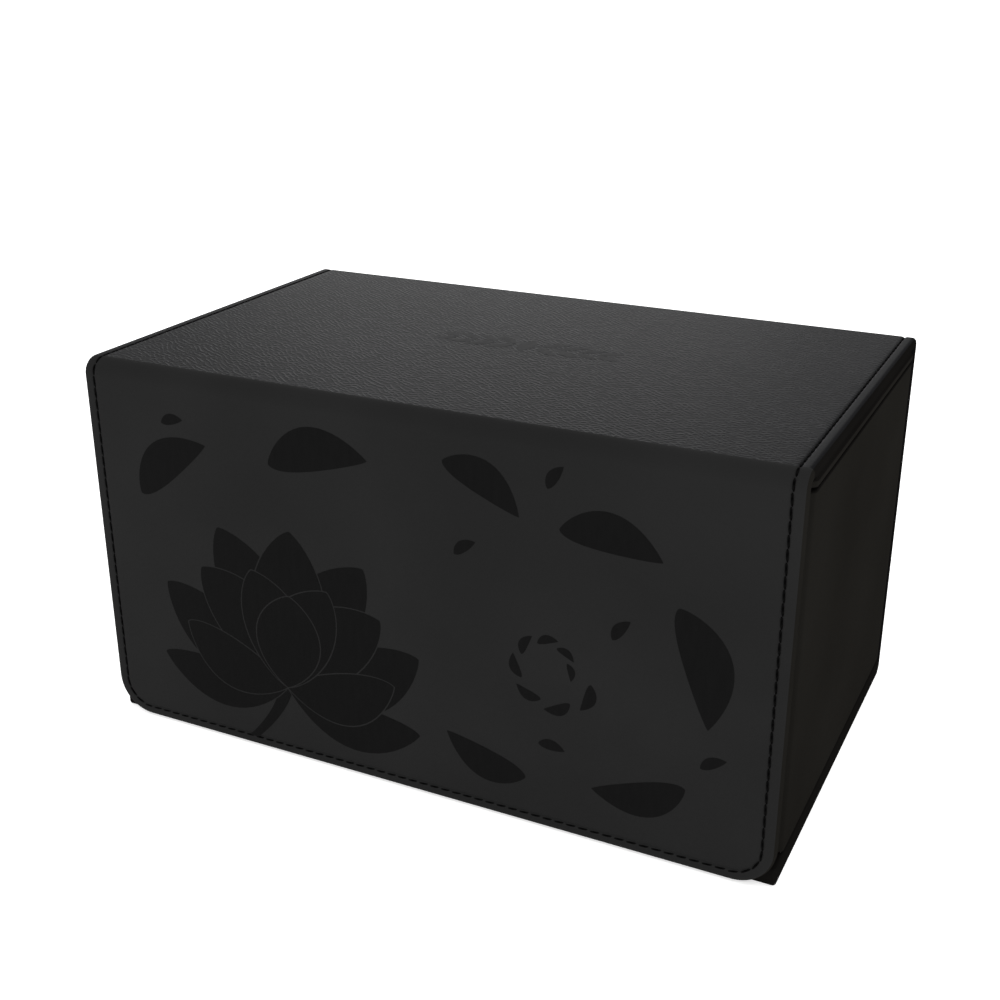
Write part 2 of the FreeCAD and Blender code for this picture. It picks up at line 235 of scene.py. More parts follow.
def ring_outline(corners: Array, inset: float, radius: float, steps: int) -> Array:
    """Outline of a convex polygon drawn in by inset, with round corners.

    Each corner moves inwards along the sum of its two edges' inward normals, divided by one plus their
    product, which keeps every edge parallel. The arc is the moved corner's centre less the radius times
    the inward normal as it turns from one edge to the next.

    Args:
        corners: n by 2, anticlockwise.
        inset: how far the edges move in.
        radius: radius of the outermost outline's corners; an inner outline's is smaller by the inset.
        steps: points on each corner.

    Returns:
        n times steps by 2 points, anticlockwise.
    """
    edge = np.roll(corners, -1, axis=0) - corners
    edge = edge / np.linalg.norm(edge, axis=1, keepdims=True)
    after = np.stack([-edge[:, 1], edge[:, 0]], axis=1)
    before = np.roll(after, 1, axis=0)
    mitre = (before + after) / (1 + (before * after).sum(axis=1, keepdims=True))
    bend = max(radius - inset, 0.02 * MM)
    centre = corners + (inset + bend) * mitre
    turn = np.arctan2(before[:, 0] * after[:, 1] - before[:, 1] * after[:, 0], (before * after).sum(axis=1))
    angle = np.linspace(0, 1, steps)[None, :] * turn[:, None]
    normal = np.stack([before[:, :1] * np.cos(angle) - before[:, 1:] * np.sin(angle),
                       before[:, :1] * np.sin(angle) + before[:, 1:] * np.cos(angle)], axis=2)
    return (centre[:, None, :] - bend * normal).reshape(-1, 2)


def carried(corners: Array, section: Array, radius: float, steps: int) -> Array:
    """Carry a section round a polygon: the outline drawn in by each inset, at that section point's height.

    Args:
        corners: the outermost outline's corners, anticlockwise.
        section: k by 2, inset and height.
        radius: round of the outline's corners.
        steps: points on each corner.

    Returns:
        Points round the outline by k by 3.
    """
    rings = [ring_outline(corners, inset, radius, steps) for inset, _ in section]
    return np.stack([np.column_stack([ring, np.full(len(ring), height)])
                     for ring, (_, height) in zip(rings, section)], axis=1)


def ring_piece(draft: MeshDraft, corners: Array, section: Array, radius: float, steps: int = 7,
               slots: Array | None = None) -> None:
    """Carry a closed section round a polygon: each section point is an inset and a height.

    Args:
        draft: takes the grid.
        corners: the outermost outline's corners, anticlockwise.
        section: k by 2, inset and height, its last point joined to its first.
        radius: round of the outline's corners.
        steps: points on each corner.
        slots: number of the finish for each strip of the section.
    """
    loop = np.vstack([section, section[:1]])
    points = carried(corners, loop, radius, steps)
    points = np.concatenate([points, points[:1]])
    draft.grid(points, flat_grid(run_length(points[:, 0, :2]), run_length(loop)), slots)


def slab_piece(draft: MeshDraft, corners: Array, section: Array, radius: float, steps: int = 7) -> None:
    """Make a closed slab: an edge section carried round a polygon, with a flat face at each end of it.

    Args:
        draft: takes the grids.
        corners: the outline's corners, anticlockwise.
        section: k by 2, inset and height, from the lower face's rim to the upper face's.
        radius: round of the outline's corners.
        steps: points on each corner.
    """
    points = carried(corners, section, radius, steps)
    closed = np.concatenate([points, points[:1]])
    draft.grid(closed, flat_grid(run_length(closed[:, -1, :2]), run_length(section)))
    draft.polygon(points[::-1, 0], points[::-1, 0, :2])
    draft.polygon(points[:, -1], points[:, -1, :2])


def u_outline(half: float, foot: float, top: float, radius: float, steps: int = 12) -> tuple[Array, Array]:
    """Outline open at its top: down the left side, round, along the foot, round and up the right side.

    Args:
        half: half its width.
        foot: level of the foot.
        top: level of the open end.
        radius: round of the two lower corners.
        steps: points on each corner.

    Returns:
        The points and their inward normals, each n by 2.
    """
    left = round_corner((radius - half, foot + radius), radius, 180, 270, steps)
    right = round_corner((half - radius, foot + radius), radius, 270, 360, steps)
    points = np.vstack([[[-half, top]], left, right, [[half, top]]])
    inward = np.vstack([[[1.0, 0.0]], ((radius - half, foot + radius) - left) / radius,
                        ((half - radius, foot + radius) - right) / radius, [[-1.0, 0.0]]])
    return points, inward


# ---------------------------------------------------------------- sizes taken from the frame


def node_box(name: str) -> tuple[Vector, Vector]:
    """Lowest and highest corner of a CAD node at rest, in metres."""
    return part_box(name)


@dataclass(frozen=True)
class Bend:
    """One stretch of the case's path in the side view: straight, or an arc about a centre."""

    length: float
    start: tuple[float, float]
    heading: float
    radius: float = 0.0

    def place(self, along: Array, out: Array) -> tuple[Array, Array]:
        """Point at a distance along the stretch and a height over it.

        A straight stretch is its start plus the distance along its heading, and an arc is its centre plus
        radius and height along the outward normal, which turns by distance over radius. The outward normal
        is the heading turned a quarter to the left, and an arc turns to the right.

        Args:
            along: distances from the stretch's start.
            out: heights over the outer face.

        Returns:
            The points' Y and Z.
        """
        if self.radius == 0:
            forward = (math.cos(self.heading), math.sin(self.heading))
            return (self.start[0] + along * forward[0] - out * forward[1],
                    self.start[1] + along * forward[1] + out * forward[0])
        rise = self.heading + math.pi / 2
        centre = (self.start[0] - self.radius * math.cos(rise), self.start[1] - self.radius * math.sin(rise))
        angle = rise - along / self.radius
        reach = self.radius + out
        return centre[0] + reach * np.cos(angle), centre[1] + reach * np.sin(angle)


@dataclass
class CasePath:
    """The case's outer face in the side view, from the flap's foot over the lid to the base."""

    half: float = CAD_HIGH[0]
    stretches: dict[str, tuple[float, Bend]] = field(default_factory=dict)

    def __post_init__(self) -> None:
        """Read the folds' places from the frame and lay the stretches end to end."""
        fold_low, fold_high = node_box("front_fold")
        rear_low, _ = node_box("rear_fold")
        flap_low, _ = node_box("flap_cover")
        face, rear, top = CAD_LOW[1], CAD_HIGH[1], CAD_HIGH[2]
        front_round = min(fold_high.y - face, top - fold_low.z)
        rear_round = rear - rear_low.y
        quarter = math.pi / 2
        foot = flap_low.z
        plan = [
            ("flap", top - front_round - foot, quarter, 0.0),
            ("front_fold", quarter * front_round, quarter, front_round),
            ("lid", (rear - rear_round) - (face + front_round), 0.0, 0.0),
            ("rear_fold", quarter * rear_round, 0.0, rear_round),
            ("back", top - 2 * rear_round, -quarter, 0.0),
            ("bottom_fold", quarter * rear_round, -quarter, rear_round),
        ]
        begin, place = 0.0, (face, foot)
        for name, length, heading, radius in plan:
            bend = Bend(length, place, heading, radius)
            self.stretches[name] = (begin, bend)
            y, z = bend.place(np.array(length), np.array(0.0))
            begin, place = begin + length, (float(y), float(z))

    def span(self, name: str, inside: float = 1e-8) -> tuple[float, float]:
        """Where a stretch starts and ends along the path, a hair inside it so that both belong to it.

        Args:
            name: the stretch's name.
            inside: the hair.

        Returns:
            The two distances.
        """
        begin, bend = self.stretches[name]
        return begin + inside, begin + bend.length - inside

    def place(self, across: Array, along: Array, out: Array) -> Array:
        """Fold flat places into space: across stays X, and along and out follow the stretches.

        Args:
            across: X of each point.
            along: its distance from the flap's foot, along the outer face.
            out: its height over the outer face.

        Returns:
            The points, with a last axis of 3.
        """
        across, along, out = np.broadcast_arrays(across, along, out)
        y, z = np.zeros(along.shape), np.zeros(along.shape)
        for name, (begin, bend) in self.stretches.items():
            # the last stretch goes on past its end
            end = math.inf if name == "bottom_fold" else begin + bend.length
            inside = (along >= begin - 1e-9) & (along < end)
            part_y, part_z = bend.place(along - begin, out)
            y, z = np.where(inside, part_y, y), np.where(inside, part_z, z)
        return np.stack([across, y, z], axis=-1)


@dataclass(frozen=True)
class PanelEdge:
    """Section across a case panel's edge: turned leatherette over board, with the seam pulled in."""

    thick: float = 2.6 * MM
    round_top: float = 1.25 * MM
    round_foot: float = 0.3 * MM
    seam: float = 3.45 * MM
    seam_half: float = 0.8 * MM
    seam_deep: float = 0.3 * MM
    under: float = 5.0 * MM
    field: float = 6.0 * MM

    def section(self) -> Array:
        """Inset and height from the underside, round the edge and over the seam to the field.

        The seam's furrow is a raised cosine: half the depth times one plus the cosine of the distance from
        its middle, in half widths times pi.

        Returns:
            k by 2, inset and height.
        """
        foot = round_corner((self.round_foot, self.round_foot - self.thick), self.round_foot, 270, 180, 6)
        top = round_corner((self.round_top, -self.round_top), self.round_top, 180, 90, 8)
        offset = np.linspace(-1, 1, 13)
        furrow = np.stack([self.seam + offset * self.seam_half,
                           -self.seam_deep * (1 + np.cos(math.pi * offset)) / 2], axis=1)
        rim = [[self.under, -self.thick]]
        return np.vstack([rim, foot, top, furrow, [[self.field, 0.0]]])

    def turned(self) -> Array:
        """Which strips of the section lie on the turned edge: those at less than a third of its round."""
        inset = self.section()[:, 0]
        return ((inset[1:] + inset[:-1]) / 2 < self.round_top / 3).astype(int)


# ---------------------------------------------------------------- materials


def colour(code: str) -> tuple[float, float, float, float]:
    """Turn an sRGB hex code into linear colour.

    Args:
        code: such as "#1c1c1e".

    Returns:
        Red, green and blue, and an alpha of 1.
    """
    value = np.array([int(code[i:i + 2], 16) for i in (1, 3, 5)]) / 255
    linear = np.where(value <= 0.04045, value / 12.92, ((value + 0.055) / 1.055) ** 2.4)
    return (*(float(v) for v in linear), 1.0)


def set_inputs(tree: bpy.types.NodeTree, node: bpy.types.Node, inputs: dict) -> None:
    """Set a node's inputs, each to a socket or to a constant.

    Args:
        tree: the material's tree.
        node: the node.
        inputs: sockets or values, by input name or number.
    """
    for name, value in inputs.items():
        if isinstance(value, bpy.types.NodeSocket):
            tree.links.new(value, node.inputs[name])
        else:
            node.inputs[name].default_value = value


def add_node(tree: bpy.types.NodeTree, kind: str, settings: dict | None = None,
             inputs: dict | None = None) -> bpy.types.Node:
    """Add a shader node.

    Args:
        tree: the material's tree.
        kind: the node's type, without its ShaderNode prefix.
        settings: attributes to set.
        inputs: values or sockets for its inputs, by name or number.

    Returns:
        The node.
    """
    node = tree.nodes.new("ShaderNode" + kind)
    for name, value in (settings or {}).items():
        setattr(node, name, value)
    set_inputs(tree, node, inputs or {})
    return node


def new_tree(name: str) -> tuple[bpy.types.Material, bpy.types.NodeTree, bpy.types.Node]:
    """Make a material that holds only a Principled shader wired to its output.

    Args:
        name: the material's name.

    Returns:
        The material, its tree and the shader.
    """
    material = bpy.data.materials.new(name)
    material.use_nodes = True
    tree = material.node_tree
    tree.nodes.clear()
    shader = add_node(tree, "BsdfPrincipled")
    add_node(tree, "OutputMaterial", inputs={"Surface": shader.outputs["BSDF"]})
    return material, tree, shader


@dataclass(frozen=True)
class GrainedLeatherette:
    """Polyurethane leatherette, embossed by a heated roller with short slanting crossed ridges.

    To the eye it is near black, with fine slanting glints that stop short of the seams.
    """

    name: str
    dark: str = "#101011"
    light: str = "#1c1c1e"
    pitch_mm: float = 1.38
    stroke_mm: float = 2.8
    wander_mm: float = 6.0
    bend_mm: float = 1.6
    pore_mm: float = 0.5
    patch_mm: float = 45.0
    slant: float = 34.0
    depth_mm: float = 0.095
    smooth_from_mm: float = 98.6
    roughness: float = 0.48
    specular: float = 0.02

    def make(self) -> bpy.types.Material:
        """Build the material: two crossed sets of short ridges, pores, and a margin pressed smooth.

        Returns:
            The material.
        """
        material, tree, shader = new_tree(self.name)
        flat = add_node(tree, "TexCoord").outputs["UV"]
        # a slow wander bends the ridges, as rolled grain bends
        wander = add_node(tree, "TexNoise", {"noise_dimensions": "2D"},
                          {"Vector": flat, "Scale": 1000 / self.wander_mm, "Detail": 2.0})
        shift = add_node(tree, "VectorMath", {"operation": "SCALE"},
                         {0: wander.outputs["Color"], "Scale": self.bend_mm * MM})
        bent = add_node(tree, "VectorMath", {"operation": "ADD"}, {0: flat, 1: shift.outputs[0]})
        ridges = [add_node(tree, "TexGabor", {"gabor_type": "2D"},
                           {"Vector": bent.outputs[0], "Scale": 1000 / self.stroke_mm,
                            "Frequency": self.stroke_mm / self.pitch_mm, "Anisotropy": 0.92,
                            "Orientation 2D": math.radians(90 + turn)}).outputs["Value"]
                  for turn in (self.slant, -self.slant)]
        crossed = add_node(tree, "Math", {"operation": "MAXIMUM"}, {0: ridges[0], 1: ridges[1]})
        crest = add_node(tree, "MapRange", {"interpolation_type": "SMOOTHSTEP"},
                         {"Value": crossed.outputs[0], "From Min": 0.42, "From Max": 0.75})
        # outside the seam the leatherette is pressed smooth by the hem's folding iron
        sides = add_node(tree, "SeparateXYZ", inputs={0: flat})
        reach = add_node(tree, "Math", {"operation": "ABSOLUTE"}, {0: sides.outputs["X"]})
        field = add_node(tree, "MapRange", {"interpolation_type": "SMOOTHSTEP"},
                         {"Value": reach.outputs[0], "From Min": (self.smooth_from_mm - 0.7) * MM,
                          "From Max": (self.smooth_from_mm + 0.5) * MM, "To Min": 1.0, "To Max": 0.12})
        grain = add_node(tree, "Math", {"operation": "MULTIPLY"}, {0: crest.outputs[0], 1: field.outputs[0]})
        pores = add_node(tree, "TexNoise", {"noise_dimensions": "2D"},
                         {"Vector": flat, "Scale": 1000 / self.pore_mm, "Detail": 2.0})
        relief = add_node(tree, "Math", {"operation": "MULTIPLY_ADD"},
                          {0: pores.outputs[0], 1: 0.12, 2: grain.outputs[0]})
        bump = add_node(tree, "Bump", inputs={"Height": relief.outputs[0], "Strength": 1.0,
                                              "Distance": self.depth_mm * MM})
        # slow changes of tone, as handling leaves
        handled = add_node(tree, "TexNoise", {"noise_dimensions": "2D"},
                           {"Vector": flat, "Scale": 1000 / self.patch_mm, "Detail": 3.0})
        tone = add_node(tree, "MapRange", inputs={"Value": handled.outputs[0], "From Min": 0.3,
                                                  "From Max": 0.7, "To Min": 0.1, "To Max": 0.35})
        # the ridge crests are painted lighter over the slow tone changes: a painted highlight on the grain's
        # relief
        lit = add_node(tree, "Math", {"operation": "MULTIPLY_ADD", "use_clamp": True},
                       {0: grain.outputs[0], 1: 0.45, 2: tone.outputs[0]})
        paint = add_node(tree, "ValToRGB", inputs={0: lit.outputs[0]})
        for element, code in zip(paint.color_ramp.elements, (self.dark, self.light)):
            element.color = colour(code)
        gloss = add_node(tree, "MapRange", inputs={"Value": grain.outputs[0],
                                                   "To Min": self.roughness + 0.04,
                                                   "To Max": self.roughness - 0.04})
        # the turned edge is rubbed dull
        edge = add_node(tree, "MapRange", {"interpolation_type": "SMOOTHSTEP"},
                        {"Value": reach.outputs[0], "From Min": (self.smooth_from_mm + 2.4) * MM,
                         "From Max": (self.smooth_from_mm + 3.6) * MM, "To Max": 0.5})
        dull = add_node(tree, "Math", {"operation": "ADD", "use_clamp": True},
                        {0: gloss.outputs[0], 1: edge.outputs[0]})
        set_inputs(tree, shader, {"Base Color": paint.outputs["Color"], "Roughness": dull.outputs[0],
                                  "Normal": bump.outputs[0], "Specular IOR Level": self.specular})
        return material


@dataclass(frozen=True)
class SmoothLeatherette:
    """Polyurethane leatherette with a fine pebbled skin, pressed smooth for printing.

    To the eye it is an even matt charcoal, with no highlight of its own.
    """

    name: str
    dark: str = "#1e1e1e"
    light: str = "#212121"
    pebble_mm: float = 0.8
    pore_mm: float = 0.3
    patch_mm: float = 60.0
    depth_mm: float = 0.03
    roughness: float = 0.75
    specular: float = 0.02

    def make(self) -> bpy.types.Material:
        """Build the material: small cells as pebbles, slow tone changes and an even low gloss.

        Returns:
            The material.
        """
        material, tree, shader = new_tree(self.name)
        flat = add_node(tree, "TexCoord").outputs["UV"]
        pebbles = add_node(tree, "TexVoronoi", {"voronoi_dimensions": "2D", "feature": "SMOOTH_F1"},
                           {"Vector": flat, "Scale": 1000 / self.pebble_mm, "Smoothness": 0.6})
        pores = add_node(tree, "TexNoise", {"noise_dimensions": "2D"},
                         {"Vector": flat, "Scale": 1000 / self.pore_mm, "Detail": 2.0})
        relief = add_node(tree, "Math", {"operation": "MULTIPLY_ADD"},
                          {0: pores.outputs[0], 1: 0.4, 2: pebbles.outputs["Distance"]})
        bump = add_node(tree, "Bump", inputs={"Height": relief.outputs[0], "Strength": 1.0,
                                              "Distance": self.depth_mm * MM})
        handled = add_node(tree, "TexNoise", {"noise_dimensions": "2D"},
                           {"Vector": flat, "Scale": 1000 / self.patch_mm, "Detail": 3.0})
        paint = add_node(tree, "ValToRGB", inputs={0: handled.outputs[0]})
        for element, place, code in zip(paint.color_ramp.elements, (0.3, 0.7), (self.dark, self.light)):
            element.position, element.color = place, colour(code)
        gloss = add_node(tree, "MapRange", inputs={"Value": pores.outputs[0], "To Min": self.roughness - 0.05,
                                                   "To Max": self.roughness + 0.05})
        set_inputs(tree, shader, {"Base Color": paint.outputs["Color"], "Roughness": gloss.outputs[0],
                                  "Normal": bump.outputs[0], "Specular IOR Level": self.specular})
        return material


@dataclass(frozen=True)
class PressedPrint:
    """Black foil pressed into the leatherette: flatter and darker than the skin round it.

    To the eye it shows by its darker tone alone.
    """

    name: str
    dark: str = "#0d0d0d"
    light: str = "#111111"
    streak_mm: float = 1.5
    pebble_mm: float = 0.8
    depth_mm: float = 0.008
    roughness: float = 0.7
    specular: float = 0.02

    def make(self) -> bpy.types.Material:
        """Build the material: a thin even film with faint streaks of the press.

        Returns:
            The material.
        """
        material, tree, shader = new_tree(self.name)
        flat = add_node(tree, "TexCoord").outputs["UV"]
        drawn = add_node(tree, "Mapping", inputs={"Vector": flat, "Scale": (1.0, 0.2, 1.0)})
        streak = add_node(tree, "TexNoise", {"noise_dimensions": "2D"},
                          {"Vector": drawn.outputs[0], "Scale": 1000 / self.streak_mm, "Detail": 3.0})
        skin = add_node(tree, "TexVoronoi", {"voronoi_dimensions": "2D", "feature": "SMOOTH_F1"},
                        {"Vector": flat, "Scale": 1000 / self.pebble_mm, "Smoothness": 0.6})
        bump = add_node(tree, "Bump", inputs={"Height": skin.outputs["Distance"], "Strength": 1.0,
                                              "Distance": self.depth_mm * MM})
        paint = add_node(tree, "ValToRGB", inputs={0: streak.outputs[0]})
        for element, code in zip(paint.color_ramp.elements, (self.dark, self.light)):
            element.color = colour(code)
        gloss = add_node(tree, "MapRange", inputs={"Value": streak.outputs[0],
                                                   "To Min": self.roughness - 0.04,
                                                   "To Max": self.roughness + 0.06})
        set_inputs(tree, shader, {"Base Color": paint.outputs["Color"], "Roughness": gloss.outputs[0],
                                  "Normal": bump.outputs[0], "Specular IOR Level": self.specular})
        return material


@dataclass(frozen=True)
class SewingThread:
    """Bonded polyester thread of three twisted plies: to the eye, the darkest dashes on the box."""

    name: str
    dark: str = "#030303"
    light: str = "#0a0a0a"
    ply_mm: float = 0.8
    twist: float = 35.0
    depth_mm: float = 0.06

    def make(self) -> bpy.types.Material:
        """Build the material: slanting ply lines along each stitch.

        Returns:
            The material.
        """
        material, tree, shader = new_tree(self.name)
        flat = add_node(tree, "TexCoord").outputs["UV"]
        turned = add_node(tree, "Mapping",
                          inputs={"Vector": flat, "Rotation": (0, 0, math.radians(self.twist))})
        # a wave is a tenth of pi over its scale long, and takes two plies
        plies = add_node(tree, "TexWave", {"bands_direction": "X"},
                         {"Vector": turned.outputs[0], "Scale": 1000 / self.ply_mm / 20 * math.pi})
        bump = add_node(tree, "Bump", inputs={"Height": plies.outputs["Fac"], "Strength": 1.0,
                                              "Distance": self.depth_mm * MM})
        paint = add_node(tree, "ValToRGB", inputs={0: plies.outputs["Fac"]})
        for element, code in zip(paint.color_ramp.elements, (self.dark, self.light)):
            element.color = colour(code)
        set_inputs(tree, shader, {"Base Color": paint.outputs["Color"], "Normal": bump.outputs[0],
                                  "Roughness": 0.8, "Specular IOR Level": 0.01})
        return material


@dataclass(frozen=True)
class Microfibre:
    """Brushed microfibre lining: to the eye, a soft dark grey nap with patches where it was stroked."""

    name: str
    dark: str = "#252528"
    light: str = "#3a3a3e"
    nap_mm: float = 0.45
    patch_mm: float = 45.0
    depth_mm: float = 0.12

    def make(self) -> bpy.types.Material:
        """Build the material: fine fibres, patches of turned nap and a soft sheen.

        Returns:
            The material.
        """
        material, tree, shader = new_tree(self.name)
        flat = add_node(tree, "TexCoord").outputs["UV"]
        fibres = add_node(tree, "TexNoise", {"noise_dimensions": "2D"},
                          {"Vector": flat, "Scale": 1000 / self.nap_mm, "Detail": 4.0, "Roughness": 0.7})
        patches = add_node(tree, "TexNoise", {"noise_dimensions": "2D"},
                           {"Vector": flat, "Scale": 1000 / self.patch_mm, "Detail": 2.0})
        turned = add_node(tree, "Math", {"operation": "MULTIPLY"}, {0: patches.outputs[0], 1: 0.25})
        mixed = add_node(tree, "Math", {"operation": "MULTIPLY_ADD", "use_clamp": True},
                         {0: fibres.outputs[0], 1: 1.0, 2: turned.outputs[0]})
        paint = add_node(tree, "ValToRGB", inputs={0: mixed.outputs[0]})
        for element, place, code in zip(paint.color_ramp.elements, (0.35, 0.9), (self.dark, self.light)):
            element.position, element.color = place, colour(code)
        bump = add_node(tree, "Bump", inputs={"Height": fibres.outputs[0], "Strength": 1.0,
                                              "Distance": self.depth_mm * MM})
        set_inputs(tree, shader, {"Base Color": paint.outputs["Color"], "Normal": bump.outputs[0],
                                  "Roughness": 0.95, "Specular IOR Level": 0.1,
                                  "Sheen Weight": 0.35, "Sheen Roughness": 0.4})
        return material


@dataclass(frozen=True)
class Greyboard:
    """Grey compressed paperboard, die cut: to the eye, dry and mid grey with specks of the pulp."""

    name: str
    dark: str = "#5c5955"
    light: str = "#77736e"
    pulp_mm: float = 2.5
    fleck_mm: float = 3.0
    depth_mm: float = 0.05

    def make(self) -> bpy.types.Material:
        """Build the material: mottled pulp, small dark flecks and a felted surface.

        Returns:
            The material.
        """
        material, tree, shader = new_tree(self.name)
        place = add_node(tree, "TexCoord").outputs["Object"]
        pulp = add_node(tree, "TexNoise",
                        inputs={"Vector": place, "Scale": 1000 / self.pulp_mm, "Detail": 5.0})
        flecks = add_node(tree, "TexVoronoi", inputs={"Vector": place, "Scale": 1000 / self.fleck_mm})
        spot = add_node(tree, "MapRange", inputs={"Value": flecks.outputs["Distance"], "From Min": 0.08,
                                                  "From Max": 0.16})
        mixed = add_node(tree, "Math", {"operation": "MULTIPLY"}, {0: pulp.outputs[0], 1: spot.outputs[0]})
        paint = add_node(tree, "ValToRGB", inputs={0: mixed.outputs[0]})
        for element, code in zip(paint.color_ramp.elements, (self.dark, self.light)):
            element.color = colour(code)
        bump = add_node(tree, "Bump", inputs={"Height": pulp.outputs[0], "Strength": 1.0,
                                              "Distance": self.depth_mm * MM})
        set_inputs(tree, shader, {"Base Color": paint.outputs["Color"], "Normal": bump.outputs[0],
                                  "Roughness": 0.9})
        return material


@dataclass(frozen=True)
class PlatedSteel:
    """Nickel plated steel, tumbled: to the eye, a warm satin grey metal, for the magnets and keepers."""

    name: str
    tone: str = "#b9b6ad"
    mark_mm: float = 0.6

    def make(self) -> bpy.types.Material:
        """Build the material: metal with fine tumbling marks in its gloss.

        Returns:
            The material.
        """
        material, tree, shader = new_tree(self.name)
        place = add_node(tree, "TexCoord").outputs["Object"]
        marks = add_node(tree, "TexNoise",
                         inputs={"Vector": place, "Scale": 1000 / self.mark_mm, "Detail": 4.0})
        gloss = add_node(tree, "MapRange", inputs={"Value": marks.outputs[0], "To Min": 0.2, "To Max": 0.45})
        set_inputs(tree, shader, {"Base Color": colour(self.tone), "Metallic": 1.0,
                                  "Roughness": gloss.outputs[0]})
        return material


@dataclass(frozen=True)
class Finishes:
    """Every finish of the box, made once."""

    lid: bpy.types.Material
    side: bpy.types.Material
    edge: bpy.types.Material
    flap: bpy.types.Material
    print: bpy.types.Material
    stamp: bpy.types.Material
    thread: bpy.types.Material
    lining: bpy.types.Material
    board: bpy.types.Material
    steel: bpy.types.Material

    @classmethod
    def make(cls) -> "Finishes":
        """Build all the materials.

        Returns:
            The finishes.
        """
        return cls(
            lid=GrainedLeatherette("crossgrain_leatherette").make(),
            side=SmoothLeatherette("side_leatherette", "#181715", "#1b1a18", specular=0.0).make(),
            # painted shade: a darker copy of the side leatherette, laid on rolled edges, hollows, seam strips
            # and the base where shade falls
            edge=SmoothLeatherette("shade_painted_leatherette", "#100f0e", "#131211", specular=0.0).make(),
            flap=SmoothLeatherette("smooth_leatherette").make(),
            print=PressedPrint("pressed_foil_print").make(),
            stamp=PressedPrint("blind_stamp", "#131314", "#181819", specular=0.105).make(),
            thread=SewingThread("bonded_thread").make(),
            lining=Microfibre("microfibre").make(),
            board=Greyboard("greyboard").make(),
            steel=PlatedSteel("nickel_plated_steel").make(),
        )


# ---------------------------------------------------------------- sub-assemblies


def settle(piece: bpy.types.Object, body: str, nodes: tuple[str, ...] = ()) -> None:
    """Put a piece on its body and finish it.

    Args:
        piece: the finished piece.
        body: the body that it rides on.
        nodes: the CAD nodes that it replaces.
    """
    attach(piece, body)
    finish_piece(piece, nodes)


def finish_piece(piece: bpy.types.Object, nodes: tuple[str, ...] = ()) -> None:
    """Hide the CAD nodes that a piece stands for, and report it.

    Args:
        piece: the piece, on its body or baked in place.
        nodes: the CAD nodes that it replaces.
    """
    if nodes:
        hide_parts(*nodes)
    LOG.info("%s: %d faces", piece.name, len(piece.data.polygons))


@dataclass
class Stitching:
    """A row of stitches laid along a line on the case's flat pattern."""

    path: CasePath
    pitch: float = 3.4 * MM
    length: float = 3.36 * MM
    breadth: float = 0.56 * MM
    proud: float = 0.05 * MM
    sunk: float = 0.14 * MM
    tilt: float = 4.0
    reach: float = 0.4 * MM
    rings: int = 7
    spokes: int = 9

    def shape(self) -> tuple[Array, Array]:
        """One stitch: an oval thread that rises from the seam and goes back into it.

        Along the stitch a goes from -1 to 1, the middle's height is the rise times one less a to the fourth,
        and the section is an oval whose size falls towards both ends as the fourth root of the same.

        Returns:
            Places (along, across, out) and flat coordinates, each on a grid of rings.
        """
        # the first and last ring stop just short of the tips, so that they keep some size
        step = np.linspace(-0.98, 0.98, self.rings)[:, None]
        turn = np.linspace(0, 2 * math.pi, self.spokes)[None, :]
        swell = (1 - step ** 4) ** 0.25
        along = np.broadcast_to(step * self.length / 2, (self.rings, self.spokes))
        across = swell * np.cos(turn) * self.breadth / 2
        middle = self.proud * (1 - step ** 4) - self.sunk * step ** 4 - self.breadth * 0.25
        out = middle + swell * np.sin(turn) * self.breadth * 0.3
        flat = flat_grid(step[:, 0] * self.length / 2, turn[0] * self.breadth / 2)
        return np.stack([along, across, out], axis=2), flat

    def row(self, name: str, line: Array, finish: bpy.types.Material) -> bpy.types.Object:
        """Lay stitches end to end along a line, each turned a little off it as a lockstitch is.

        Args:
            name: the piece's name.
            line: n by 2, across and along the flat pattern.
            finish: the thread's material.

        Returns:
            The row as one piece.
        """
        length = run_length(line)
        count = max(1, round(length[-1] / self.pitch))
        spot = (np.arange(count) + 0.5) * length[-1] / count
        behind, middle, ahead = (
            np.stack([np.interp(spot + step, length, line[:, i]) for i in (0, 1)], axis=1)
            for step in (-self.reach, 0.0, self.reach))
        heading = (ahead - behind) / np.linalg.norm(ahead - behind, axis=1, keepdims=True)
        sine, cosine = math.sin(math.radians(self.tilt)), math.cos(math.radians(self.tilt))
        heading = heading @ np.array([[cosine, sine], [-sine, cosine]])
        shape, flat = self.shape()
        draft = MeshDraft()
        for place, way in zip(middle, heading):
            side = np.array([-way[1], way[0]])
            spread = place + shape[..., :1] * way + shape[..., 1:2] * side
            points = self.path.place(spread[..., 0], spread[..., 1], shape[..., 2])
            draft.grid(points, flat)
            for end, order in ((0, 1), (-1, -1)):
                draft.polygon(points[end, :-1][::order], flat[end, :-1][::order], Face.SMOOTH)
        return draft.build(name, finish)


